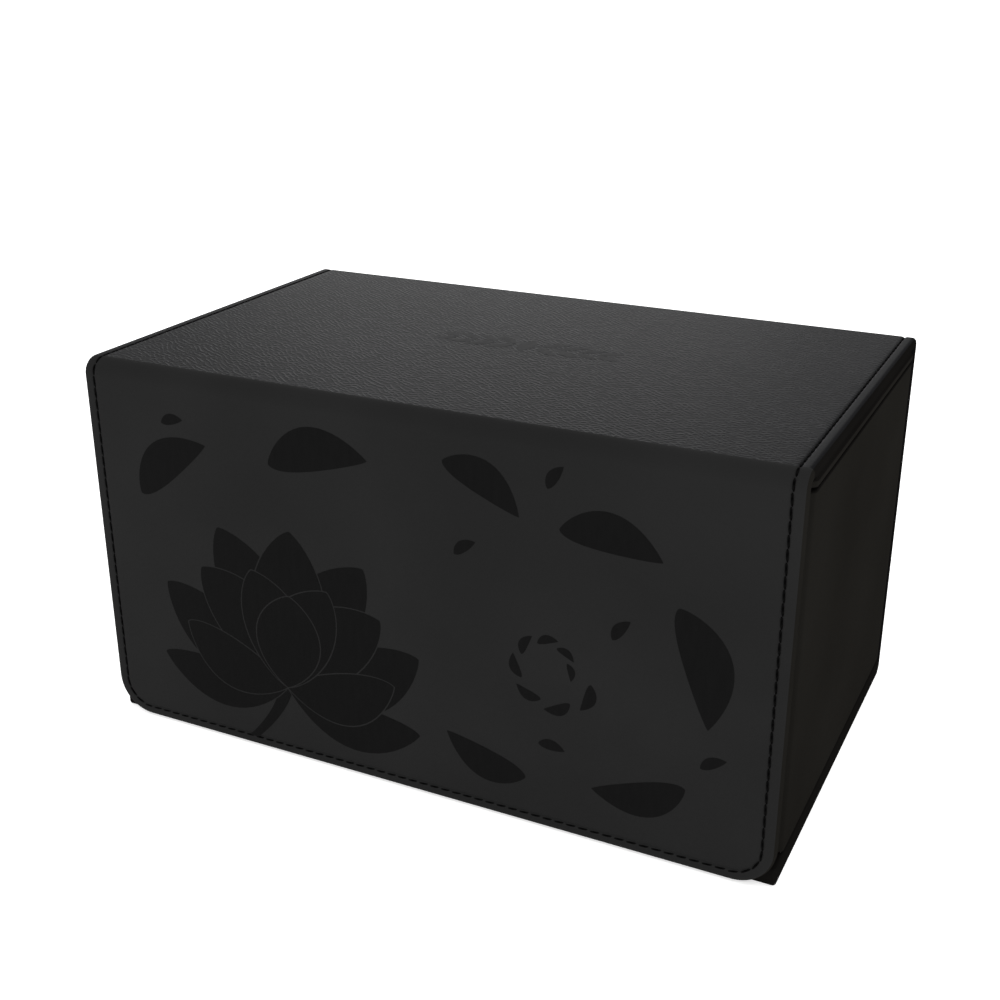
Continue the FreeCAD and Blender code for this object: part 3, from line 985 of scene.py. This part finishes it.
@dataclass
class Case:
    """The leatherette case: flap, lid and back panels and the folds between them."""

    path: CasePath
    finishes: Finishes
    edge: PanelEdge = PanelEdge()
    corner: float = 11.0 * MM
    seam_foot: float = 2.8 * MM
    seam_corner: float = 8.0 * MM
    rear_thick: float = 2.4 * MM
    columns: int = 16

    def strip(self, name: str, stretch: str, rows: int, finish: bpy.types.Material,
              edge: PanelEdge | None = None) -> bpy.types.Object:
        """Carry the panel's whole cross section along one stretch of the case, closed at both ends.

        Args:
            name: the piece's name.
            stretch: the stretch's name.
            rows: number of rows along it.
            finish: its material.
            edge: the edge section, or none for the case's own.

        Returns:
            The piece.
        """
        edge = edge or self.edge
        section, turned = edge.section(), edge.turned()
        inner = self.path.half - section[-1, 0]
        left = np.column_stack([section[:, 0] - self.path.half, section[:, 1]])
        right = np.column_stack([self.path.half - section[::-1, 0], section[::-1, 1]])
        middle = np.column_stack([np.linspace(-inner, inner, self.columns + 1)[1:-1],
                                  np.zeros(self.columns - 1)])
        loop = np.vstack([left, middle, right])
        loop = np.vstack([loop, loop[:1]])
        along = np.linspace(*self.path.span(stretch), rows)
        points = self.path.place(loop[None, :, 0], along[:, None], loop[None, :, 1])
        # across the flat pattern, 0 is the panel's middle
        around = run_length(loop) - run_length(loop[:-1])[-1] / 2
        flat = flat_grid(along, around)[..., ::-1]
        slots = np.concatenate([turned, np.zeros(self.columns, dtype=int), turned[::-1], [0]])
        draft = MeshDraft()
        draft.grid(points, flat, slots)
        draft.polygon(points[0, :-1], loop[:-1])
        draft.polygon(points[-1, :-1][::-1], loop[:-1][::-1])
        # the turned edges of the lid, rear fold, back and bottom fold take the painted shade finish, painted
        # shade on the rolled edge; the flap's and front fold's take the side leatherette
        rim = self.finishes.side if finish == self.finishes.flap else self.finishes.edge
        return draft.build(name, finish, rim)

    def flap(self) -> bpy.types.Object:
        """Flap cover: the edge section carried round a shape open at the top, with flat faces inside it.

        Returns:
            The piece.
        """
        section = self.edge.section()
        outline, inward = u_outline(self.path.half, 0.0, self.path.span("flap")[1], self.corner, steps=16)
        flat = outline[:, None, :] + section[None, :, :1] * inward[:, None, :]
        points = self.path.place(flat[..., 0], flat[..., 1], section[None, :, 1])
        draft = MeshDraft()
        draft.plate(points, flat, self.edge.turned())
        return draft.build("flap_leather", self.finishes.flap, self.finishes.side)

    def seam_line(self, side: int, stretch: str) -> Array:
        """Straight seam near one side edge, along a stretch."""
        across = side * (self.path.half - self.edge.seam)
        return np.array([[across, along] for along in self.path.span(stretch, 0.0)])

    def flap_seam(self) -> Array:
        """The flap's seam, down the left, round the foot and up the right.

        Returns:
            n by 2, across and along the flat pattern.
        """
        half = self.path.half - self.edge.seam
        line, _ = u_outline(half, self.seam_foot, self.path.span("flap", 0.0)[1], self.seam_corner, steps=24)
        return line

    def build(self) -> None:
        """Make the panels, folds and stitching and put each on its body, save the front and rear folds and
        the front fold's stitches, which are only baked in place.
        """
        path, finishes = self.path, self.finishes
        settle(self.flap(), "flap", ("flap_cover",))
        fold = self.strip("front_fold_leather", "front_fold", 22, finishes.flap)
        blend_fold(fold, path, "front_fold")
        finish_piece(fold, ("front_fold",))
        lid = self.strip("lid_leather", "lid", 24, finishes.lid)
        settle(lid, "lid", ("lid_cover", "lid_board"))
        rear_edge = PanelEdge(thick=self.rear_thick)
        fold = self.strip("rear_fold_leather", "rear_fold", 16, finishes.lid, rear_edge)
        blend_fold(fold, path, "rear_fold")
        finish_piece(fold, ("rear_fold",))
        back = self.strip("back_leather", "back", 24, finishes.lid, rear_edge)
        settle(back, "box", ("back_cover", "back_board"))
        foot = self.strip("bottom_fold_leather", "bottom_fold", 12, finishes.lid, rear_edge)
        settle(foot, "box", ("bottom_fold",))
        self.stitch()

    def stitch(self) -> None:
        """Sew the seams, one row for each stretch that moves on its own."""
        sewing, thread = Stitching(self.path), self.finishes.thread
        settle(sewing.row("flap_stitches", self.flap_seam(), thread), "flap", ("flap_thread",))
        for hand, side in (("left", -1), ("right", 1)):
            row = sewing.row(f"front_fold_stitches_{hand}", self.seam_line(side, "front_fold"), thread)
            blend_fold(row, self.path, "front_fold")
            finish_piece(row)
            row = sewing.row(f"lid_stitches_{hand}", self.seam_line(side, "lid"), thread)
            settle(row, "lid", (f"lid_thread_{hand}",))
            row = sewing.row(f"back_stitches_{hand}", self.seam_line(side, "back"), thread)
            settle(row, "box")


def blend_fold(piece: bpy.types.Object, path: CasePath, stretch: str) -> None:
    """Bake a fold's piece's transform into its mesh; the stretch's two ends are worked out but not used, so
    the piece is neither bent nor put on a body.

    Args:
        piece: the fold's leather or stitches.
        path: the case's path.
        stretch: the fold's name.
    """
    near, far = path.span(stretch, 1e-7)
    ends = [path.place(np.array(0.0), np.array(along), np.array(0.0)) for along in (far, near)]
    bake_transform(piece)


@dataclass
class InnerBox:
    """Wrapped board box, base panel and linings that stay with the back of the case."""

    finishes: Finishes
    corner_round: float = 1.4 * MM
    wall: float = 4.1 * MM
    cut: float = 7.0 * MM
    seam: float = 0.5 * MM
    turn: float = 0.45 * MM
    slot_deep: float = 0.55 * MM
    wrap_deep: float = 2.0 * MM
    base_round: float = 0.9 * MM
    lining: float = 0.5 * MM
    lining_round: float = 1.0 * MM
    pad_round: float = 1.2 * MM

    def plan(self, node: str, inset: float = 0.0, side_gap: float = 0.0) -> Array:
        """Outline of a node with the two cut front corners, anticlockwise from the rear left.

        A corner cut at 45 degrees gets shorter by the inset times 2 less the root of 2.

        Args:
            node: the CAD node.
            inset: how far it lies inside the outer wrap.
            side_gap: how much wider to make it on each side.

        Returns:
            Six points.
        """
        low, high = node_box(node)
        cut = self.cut - (2 - math.sqrt(2)) * inset
        left, right = low.x - side_gap, high.x + side_gap
        return np.array([[left, high.y], [left, low.y + cut], [left + cut, low.y],
                         [right - cut, low.y], [right, low.y + cut], [right, high.y]])

    def wrap(self) -> bpy.types.Object:
        """Outer wrap and rim: over the wall's top, down the outside and under, closed inside the board.

        Returns:
            The piece.
        """
        low, _ = node_box("body_wrap")
        _, rim = node_box("rim_binding")
        foot, top = low.z + self.seam, rim.z - 0.7 * self.seam
        turn = self.turn
        outer = round_corner((turn, top - turn), turn, 90, 180, 7)
        under = round_corner((turn, foot + turn), turn, 180, 270, 7)
        inner = round_corner((self.wall - turn, top - turn), turn, 0, 90, 5)
        levels = np.linspace(top - turn, foot + turn, 12)[1:-1]
        face = np.column_stack([np.zeros(len(levels)), levels])
        # the seam over the base is a shallow slot, and the wrap's edge goes down behind it
        slot = [[self.slot_deep, foot], [self.slot_deep, low.z], [self.wrap_deep, low.z]]
        section = np.vstack([[[self.wall, top - 2 * turn]], inner, outer, face, under, slot,
                             [[self.wrap_deep, top - 2 * turn]]])
        # the turned-in strips at the top and the foot take the painted shade finish: painted shade in the
        # seam lines
        turned_in = (section[:, 1] > top - turn) | (section[:, 1] < foot + turn)
        draft = MeshDraft()
        ring_piece(draft, self.plan("body_wrap"), section, self.corner_round, slots=turned_in.astype(int))
        return draft.build("body_leather", self.finishes.side, self.finishes.edge)

    def base(self) -> bpy.types.Object:
        """Base panel: a covered board with square corners, open to the fold at its rear.

        Returns:
            The piece.
        """
        low, _ = node_box("base_cover")
        _, high = node_box("base_liner")
        turn = self.base_round
        section = np.vstack([round_corner((turn, turn), turn, 270, 180, 7),
                             round_corner((turn, high.z - turn), turn, 180, 90, 7)])
        outline, inward = u_outline(high.x, low.y, high.y, 1.1 * turn, steps=7)
        flat = outline[:, None, :] + section[None, :, :1] * inward[:, None, :]
        level = np.broadcast_to(section[None, :, 1:], flat.shape[:2] + (1,))
        points = np.concatenate([flat, level], axis=2)
        draft = MeshDraft()
        draft.plate(points, flat + level)
        # the base takes the painted shade finish: the shade under the lower seam is painted in
        return draft.build("base_leather", self.finishes.edge)

    def wall_lining(self) -> bpy.types.Object:
        """Microfibre on the walls: a closed ring with a rolled top edge.

        Returns:
            The piece.
        """
        low, high = node_box("wall_lining")
        turn = self.lining / 2
        roll = round_corner((turn, high.z - turn), turn, 180, 0, 7)
        section = np.vstack([[[0.0, low.z]], roll, [[self.lining, low.z]]])
        draft = MeshDraft()
        ring_piece(draft, self.plan("wall_lining", self.wall - self.lining), section, self.lining_round)
        return draft.build("wall_microfibre", self.finishes.lining)

    def pad(self, name: str, node: str, inset: float, facing: Facing) -> bpy.types.Object:
        """A glued lining sheet with softly turned edges.

        Args:
            name: the piece's name.
            node: the CAD node whose place it takes.
            inset: how far it lies inside the outer wrap.
            facing: which way its seen face looks.

        Returns:
            The piece.
        """
        low, high = node_box(node)
        turn = (high.z - low.z) * 0.8
        if facing is Facing.UP:
            section = np.vstack([[[0.0, low.z]], round_corner((turn, high.z - turn), turn, 180, 90, 6)])
        else:
            section = np.vstack([round_corner((turn, low.z + turn), turn, 270, 180, 6), [[0.0, high.z]]])
        draft = MeshDraft()
        slab_piece(draft, self.plan(node, inset), section, self.pad_round)
        return draft.build(name, self.finishes.lining)

    def build(self) -> None:
        settle(self.wrap(), "box", ("body_wrap", "rim_binding"))
        settle(self.base(), "box", ("base_cover", "base_liner"))
        walls = self.wall_lining()
        settle(walls, "box", ("wall_lining",))
        floor = self.pad("floor_microfibre", "floor_lining", self.wall, Facing.UP)
        settle(floor, "box", ("floor_lining",))


@dataclass
class LidInsert:
    """Thick wrapped insert under the lid, and its lining."""

    inner: InnerBox
    finishes: Finishes
    groove: float = 0.55 * MM
    lip: float = 2.0 * MM
    foot: float = 0.25 * MM
    turn: float = 0.5 * MM
    wrap_deep: float = 3.0 * MM
    side_gap: float = 0.2 * MM
    rear_gap: float = 0.1 * MM
    lining_inset: float = 0.5 * MM

    def build(self) -> None:
        """Make the insert's wrap, with a hollow above a rounded lip, and the lining."""
        _, high = node_box("lid_insert_wrap")
        lining, _ = node_box("lid_lining")
        top, base = high.z, lining.z + self.foot
        turn = self.turn
        shoulder = base + self.lip
        rise = np.linspace(0, 1, 9)
        # the hollow eases back from the lip along a half cosine
        hollow = np.column_stack([self.groove * (1 - np.cos(math.pi * rise)) / 2,
                                  shoulder - turn + rise * 2 * turn])
        section = np.vstack([[[self.wrap_deep, base]], round_corner((turn, base + turn), turn, 270, 180, 6),
                             hollow, [[self.groove, top]], [[self.wrap_deep, top]]])
        # the hollow above the lip takes the painted shade finish: painted shade in the channel under the
        # lid's edge
        hollow_strips = (section[:, 1] > shoulder - turn).astype(int)
        draft = MeshDraft()
        outline = self.inner.plan("lid_insert_wrap", side_gap=self.side_gap)
        # the board reaches the rear of its node, so the wrap goes round behind it
        outline[[0, -1], 1] += self.groove + self.rear_gap
        ring_piece(draft, outline, section, self.inner.corner_round, slots=hollow_strips)
        wrap = draft.build("lid_insert_leather", self.finishes.side, self.finishes.edge)
        settle(wrap, "lid", ("lid_insert_wrap",))
        lining_piece = self.inner.pad("lid_microfibre", "lid_lining", self.lining_inset, Facing.DOWN)
        settle(lining_piece, "lid", ("lid_lining",))
        low, high = node_box("lid_lining")


@dataclass
class FlapLining:
    """Microfibre on the flap's inner face."""

    finishes: Finishes
    corner: float = 10.5 * MM
    turn: float = 0.35 * MM

    def build(self) -> None:
        """Make a thin plate with two round lower corners and softly turned edges."""
        low, high = node_box("flap_lining")
        turn = self.turn
        section = np.vstack([round_corner((turn, turn), turn, 90, 180, 6) * [1, -1] + [0, high.y],
                             [[0.0, low.y]]])
        outline, inward = u_outline(high.x, low.z, high.z, self.corner, steps=14)
        flat = outline[:, None, :] + section[None, :, :1] * inward[:, None, :]
        level = np.broadcast_to(section[None, :, 1], flat.shape[:2])
        points = np.stack([flat[..., 0], level, flat[..., 1]], axis=2)
        draft = MeshDraft()
        draft.plate(points, flat)
        piece = draft.build("flap_microfibre", self.finishes.lining)
        settle(piece, "flap", ("flap_lining",))


@dataclass
class Divider:
    """A board in a folded microfibre cover, sewn along its free edges."""

    hand: str
    finishes: Finishes
    corner: float = 5.0 * MM

    def build(self) -> None:
        """Make the cover: a rounded rectangle in the side view with a half-round edge section."""
        node = f"divider_{self.hand}_cover"
        low, high = node_box(node)
        half = (high.x - low.x) / 2
        middle = (high.x + low.x) / 2
        corners = np.array([[low.y, low.z], [high.y, low.z], [high.y, high.z], [low.y, high.z]])
        angle = np.radians(np.linspace(-90, 90, 9))
        section = np.column_stack([half * (1 - np.cos(angle)), half * np.sin(angle)])
        grid = carried(corners, section, self.corner, 8)
        points = np.stack([middle + grid[..., 2], grid[..., 0], grid[..., 1]], axis=2)
        flat = grid[..., :2] + grid[..., 2:]
        draft = MeshDraft()
        draft.grid(np.concatenate([points, points[:1]]), np.concatenate([flat, flat[:1]]))
        draft.polygon(points[::-1, 0], flat[::-1, 0])
        draft.polygon(points[:, -1], flat[:, -1])
        piece = draft.build(f"divider_{self.hand}_microfibre", self.finishes.lining)
        settle(piece, f"divider_{self.hand}", (node, f"divider_{self.hand}_board"))


# ---------------------------------------------------------------- printed flower and petals


@dataclass(frozen=True)
class Petal:
    """One petal in the flap's plane: root, direction, length, breadth and sideways bend, in millimetres."""

    root: tuple[float, float]
    angle: float
    length: float
    breadth: float
    bend: float = 0.0
    heel: float = 0.5
    tip: float = 1.0

    def outline(self, grow: float = 0.0, count: int = 26) -> Array:
        """Closed outline of the petal.

        Along the petal u goes from 0 to 1. The middle line is the length times u along the direction, plus
        the bend times u times one less u, times 4, to the side. The half breadth is the breadth times u to
        the heel times one less u to the tip, scaled to its own largest value.

        Args:
            grow: how much wider and longer to draw it, in millimetres.
            count: points along each side.

        Returns:
            n by 2 points, in millimetres.
        """
        u = (1 - np.cos(np.linspace(0, math.pi, count))) / 2
        peak = self.heel / (self.heel + self.tip)
        largest = peak ** self.heel * (1 - peak) ** self.tip
        half = (self.breadth / 2 + grow) * u ** self.heel * (1 - u) ** self.tip / largest
        reach = -grow + (self.length + 2 * grow) * u
        side = 4 * self.bend * u * (1 - u)
        turn = math.radians(self.angle)
        ahead, left = np.array([math.cos(turn), math.sin(turn)]), np.array([-math.sin(turn), math.cos(turn)])
        first = np.array(self.root) + reach[:, None] * ahead + (side - half)[:, None] * left
        second = np.array(self.root) + reach[:, None] * ahead + (side + half)[:, None] * left
        return np.vstack([first, second[-2:0:-1]])


def film(name: str, shapes: list[tuple[Array, bool]], finish: bpy.types.Material,
         place: Callable[[Array, Array], Array]) -> bpy.types.Object:
    """Fill overlapping outlines, the last on top, and keep only the inked ones.

    Args:
        name: the piece's name.
        shapes: outlines in millimetres and whether each is ink or bare.
        finish: the film's material.
        place: turns the two flat coordinates, in metres, into points.

    Returns:
        The film as one piece.
    """
    corners, loops = [], []
    for outline, _ in shapes:
        loops.append(list(range(len(corners), len(corners) + len(outline))))
        corners.extend(Vector(point) for point in outline)
    made, _, faces, _, _, source = delaunay_2d_cdt(corners, [], loops, 1, 1e-4)
    kept = [face for face, owners in zip(faces, source) if owners and shapes[max(owners)][1]]
    used = np.unique(np.concatenate([np.array(face) for face in kept]))
    order = np.full(len(made), -1)
    order[used] = np.arange(len(used))
    flat = np.array([tuple(v) for v in made])[used] * MM
    mesh = bpy.data.meshes.new(name)
    faces = [order[list(face)].tolist() for face in kept]
    mesh.from_pydata(place(flat[:, 0], flat[:, 1]).tolist(), [], faces)
    layer = mesh.uv_layers.new(name="flat_pattern")
    index = order[np.concatenate([np.array(face) for face in kept])]
    layer.data.foreach_set("uv", flat[index].astype(np.float32).ravel())
    mesh.materials.append(finish)
    return put_in_scene(name, mesh)


@dataclass
class FlapPrint:
    """A generic water flower and a drift of petals, pressed into the flap in black foil."""

    path: CasePath
    finishes: Finishes
    heart: tuple[float, float] = (-40.0, 23.0)
    lean: float = 4.0
    gap: float = 0.42
    height: float = 0.04 * MM
    whirl: tuple[float, float] = (41.0, 49.0)
    spread: float = 17.0
    power: float = 1.57
    large: int = 7
    small: int = 8

    def bloom(self) -> list[Petal]:
        """Petals of the flower, back ones first: each layer is one petal or a pair about the lean.

        Returns:
            The petals, in the order of printing.
        """
        # petals in the layer, spread in degrees, length, breadth and bend
        layers = (
            (2, 28.0, 50.0, 22.0, 2.0),
            (2, 62.0, 47.0, 20.0, -3.0),
            (1, 0.0, 49.0, 24.0, 0.0),
            (2, 92.0, 43.0, 15.0, -5.0),
            (2, 44.0, 42.0, 21.0, 2.5),
            (2, 72.0, 36.0, 16.0, -4.0),
            (2, 20.0, 36.0, 20.0, 2.0),
            (1, 0.0, 29.0, 21.0, 0.0),
        )
        petals = []
        for count, spread, length, breadth, bend in layers:
            for turn in (-spread, spread)[:count]:
                petals.append(Petal(self.heart, 90 - self.lean - turn, length, breadth,
                                    bend * float(np.sign(turn)), 0.85, 0.78))
        return petals

    def stem(self) -> Array:
        """Outline of the stem: a band that thins along a curve from the flower's heart to the seam.

        Returns:
            n by 2 points, in millimetres.
        """
        u = np.linspace(0, 1, 14)
        middle = np.column_stack([self.heart[0] - 13 * u ** 1.7, self.heart[1] + 3 - 22.5 * u])
        half = (2.4 - 0.9 * u)[:, None] * [1.0, 0.0]
        return np.vstack([middle - half, (middle + half)[::-1]])

    def drift(self) -> list[Petal]:
        """Loose petals blown along a spiral that winds in to a whirl of small ones.

        The spiral's radius is a floor, plus a step down that follows a logistic curve of the turn, plus a
        part that falls off exponentially. The large petals stand where the turn is a power of their number,
        with a small one between each two, on alternate sides. The whirl is a ring of small petals at even
        turns with radii that grow step by step.

        Returns:
            The petals.
        """
        petals = []
        for i in range(self.large):
            turn = self.spread * i ** self.power
            size = 28.0 + 4.5 * math.cos(1.9 * i - 1.2)
            petals.append(self.blown(turn, 1.0, size, 0.39, 0.12, 26.0 * math.sin(2.1 * i + 0.9)))
            if i < self.large - 1:
                half_way = self.spread * (i + 0.55) ** self.power
                petals.append(self.blown(half_way, 1.22 if i % 2 == 0 else 0.62, 7.5, 0.42, 0.08, 35.0 * i))
        for i in range(self.small):
            turn = math.radians(47 * i)
            reach = 5.5 + 0.9 * i
            middle = np.array(self.whirl) + reach * np.array([math.cos(turn), math.sin(turn)])
            way = math.degrees(turn) - 90 + 12
            petals.append(self.petal_at(middle, way, 5.0 + 0.5 * i, 0.4, 0.14))
        return petals

    def blown(self, turn: float, swing: float, size: float, slim: float, bend: float, tumble: float) -> Petal:
        """Petal on the spiral.

        Args:
            turn: how far round the spiral, in degrees.
            swing: factor on the spiral's radius.
            size: the petal's length in millimetres.
            slim: its breadth over its length.
            bend: its bend over its length.
            tumble: its turn off the spiral's direction, in degrees.

        Returns:
            The petal.
        """
        ahead = [self.spiral(turn + step, swing) for step in (-1.0, 0.0, 1.0)]
        way = math.degrees(math.atan2(*(ahead[2] - ahead[0])[::-1])) + tumble
        return self.petal_at(ahead[1], way, size, slim, bend)

    def spiral(self, turn: float, swing: float) -> Array:
        """Point of the spiral.

        Args:
            turn: how far round, in degrees.
            swing: factor on its radius.

        Returns:
            Across and height, in millimetres.
        """
        radius = swing * (12 + 26 / (1 + math.exp((turn - 330) / 22)) + 80 * math.exp(-turn / 26))
        angle = math.radians(163 - turn)
        return np.array(self.whirl) + radius * np.array([1.02 * math.cos(angle), math.sin(angle)])

    @staticmethod
    def petal_at(middle: Array, way: float, size: float, slim: float, bend: float) -> Petal:
        """Petal with its middle at a point.

        Args:
            middle: the point, in millimetres.
            way: its direction in degrees.
            size: its length in millimetres.
            slim: its breadth over its length.
            bend: its bend over its length.

        Returns:
            The petal.
        """
        ahead = np.array([math.cos(math.radians(way)), math.sin(math.radians(way))])
        root = middle - ahead * size / 2
        return Petal((float(root[0]), float(root[1])), way, size, slim * size, bend * size, 0.7, 0.9)

    def on_flap(self, across: Array, up: Array) -> Array:
        """Place flap coordinates, across and height above the floor, on the flap's face."""
        foot = self.path.stretches["flap"][1].start[1]
        return self.path.place(across, up - foot, np.full(len(up), self.height))

    def build(self) -> None:
        """Print the flower and the drifting petals."""
        shapes = [(self.stem(), True)]
        for petal in self.bloom():
            shapes.append((petal.outline(self.gap), False))
            shapes.append((petal.outline(), True))
        flower = film("flower_print", shapes, self.finishes.print, self.on_flap)
        settle(flower, "flap")
        loose = [(petal.outline(), True) for petal in self.drift()]
        petals = film("petal_print", loose, self.finishes.print, self.on_flap)
        settle(petals, "flap")


@dataclass
class LidStamp:
    """A generic blind-stamped sprig in the middle of the lid."""

    path: CasePath
    finishes: Finishes
    centre: tuple[float, float] = (3.7, 2.9)
    tall: float = 6.0
    height: float = 0.03 * MM

    def leaves(self) -> list[Petal]:
        """A lozenge in the middle, and on each side four pairs of leaves that get smaller outwards.

        Returns:
            The shapes, in millimetres from the stamp's centre.
        """
        shapes = [Petal((0.0, -self.tall), 90.0, 2 * self.tall, 4.6, 0.0, 1.0, 1.0)]
        for side in (-1, 1):
            for i in range(4):
                root = side * (3.8 + 6.2 * i)
                size = 9.6 - 0.9 * i
                for up in (-1, 1):
                    angle = up * (34.0 - 3.0 * i)
                    shapes.append(Petal((root, 0.35 * up), angle if side > 0 else 180 - angle, size, 2.9,
                                        0.5 * up * side, 0.8, 0.9))
        return shapes

    def on_lid(self, across: Array, back: Array) -> Array:
        """Place lid coordinates on the lid's face.

        Args:
            across: X from the stamp's centre, in metres.
            back: distance behind the centre.

        Returns:
            n by 3 points.
        """
        begin, lid = self.path.stretches["lid"]
        along = back + self.centre[1] * MM + (begin - lid.start[0])
        return self.path.place(across + self.centre[0] * MM, along, np.full(len(back), self.height))

    def build(self) -> None:
        """Stamp the sprig."""
        shapes = [(leaf.outline(count=12), True) for leaf in self.leaves()]
        piece = film("lid_stamp", shapes, self.finishes.stamp, self.on_lid)
        settle(piece, "lid")


# ---------------------------------------------------------------- camera, light and floor


@dataclass(frozen=True)
class Studio:
    """Plain white table, a white room, a soft box behind the box and the camera."""

    eye: tuple[float, float, float] = (0.1657, -0.3467, 0.2224)
    tilt: float = 22.33
    turn: float = 26.02
    lens: float = 50.0
    sensor: float = 36.0
    table_glow: float = 0.63
    table_reach: float = 30.0
    paper_mm: float = 25.0
    room_low: float = 1.0
    room_high: float = 1.3
    back_place: tuple[float, float, float] = (-0.75, 1.6, 0.62)
    back_aim: tuple[float, float, float] = (0.0, 0.0, 0.11)
    back_size: float = 0.9
    back_power: float = 4.4

    def camera(self) -> None:
        """Make the camera and use it."""
        data = bpy.data.cameras.new("camera")
        data.lens, data.sensor_width = self.lens, self.sensor
        data.clip_start, data.clip_end = 0.01, 100.0
        eye = put_in_scene("camera", data)
        eye.location = self.eye
        eye.rotation_euler = (math.radians(90 - self.tilt), 0.0, math.radians(self.turn))
        bpy.context.scene.camera = eye

    def back_light(self) -> None:
        """Stand a square soft box behind the box, aimed at its lid, for the lid's long soft gleam."""
        data = bpy.data.lights.new("back_softbox", "AREA")
        data.shape, data.size, data.energy = "SQUARE", self.back_size, self.back_power
        lamp = put_in_scene("back_softbox", data)
        lamp.location = self.back_place
        way = Vector(self.back_aim) - Vector(self.back_place)
        lamp.rotation_euler = way.to_track_quat("-Z", "Y").to_euler()

    def floor(self) -> None:
        """Lay a plain lit white table that reaches past the camera's view."""
        material, tree, shader = new_tree("white_table")
        place = add_node(tree, "TexCoord").outputs["Object"]
        paper = add_node(tree, "TexNoise",
                         inputs={"Vector": place, "Scale": 1000 / self.paper_mm, "Detail": 3.0})
        tone = add_node(tree, "ValToRGB", inputs={0: paper.outputs[0]})
        for element, code in zip(tone.color_ramp.elements, ("#f0f0f0", "#f6f6f6")):
            element.color = colour(code)
        set_inputs(tree, shader, {"Base Color": tone.outputs["Color"],
                                  "Emission Color": tone.outputs["Color"],
                                  "Emission Strength": self.table_glow, "Roughness": 1.0,
                                  "Specular IOR Level": 0.0})
        reach = self.table_reach
        mesh = bpy.data.meshes.new("floor")
        mesh.from_pydata([(-reach, -reach, 0), (reach, -reach, 0), (reach, reach, 0), (-reach, reach, 0)], [],
                         [(0, 1, 2, 3)])
        mesh.materials.append(material)
        sheet = put_in_scene("floor", mesh)
        sheet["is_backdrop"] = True

    def surroundings(self) -> None:
        """Light the room, white at the horizon and a little brighter overhead."""
        world = bpy.data.worlds.new("studio")
        world.use_nodes = True
        tree = world.node_tree
        way = add_node(tree, "SeparateXYZ", inputs={0: add_node(tree, "TexCoord").outputs["Generated"]})
        level = add_node(tree, "MapRange", {"interpolation_type": "SMOOTHSTEP"},
                         {"Value": way.outputs["Z"], "From Min": 0.2, "From Max": 0.8,
                          "To Min": self.room_low, "To Max": self.room_high})
        background = tree.nodes["Background"]
        background.inputs["Color"].default_value = (1, 1, 1, 1)
        tree.links.new(level.outputs[0], background.inputs["Strength"])
        bpy.context.scene.world = world
        bpy.context.scene.view_settings.view_transform = "Standard"

    def build(self) -> None:
        """Set up the whole studio."""
        self.camera()
        self.floor()
        self.surroundings()
        self.back_light()


def dress_boards(finishes: Finishes) -> None:
    """Give the CAD nodes that stay their materials: the boards, and the steel of keepers and magnets.

    Args:
        finishes: the box's finishes.
    """
    for name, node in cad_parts.items():
        if name.endswith("_board"):
            finish = finishes.board
        elif name.startswith(("keeper", "flap_magnet")):
            finish = finishes.steel
        else:
            continue
        node.data.materials.clear()
        node.data.materials.append(finish)


def main() -> None:
    """Build the box, piece by piece, and report it."""
    logging.basicConfig(level=logging.INFO, format="%(name)s %(message)s")
    Studio().build()
    finishes = Finishes.make()
    path = CasePath()
    inner = InnerBox(finishes)
    Case(path, finishes).build()
    inner.build()
    LidInsert(inner, finishes).build()
    FlapLining(finishes).build()
    for hand in ("left", "right"):
        Divider(hand, finishes).build()
    FlapPrint(path, finishes).build()
    LidStamp(path, finishes).build()
    dress_boards(finishes)


if __name__ == "__main__":
    main()
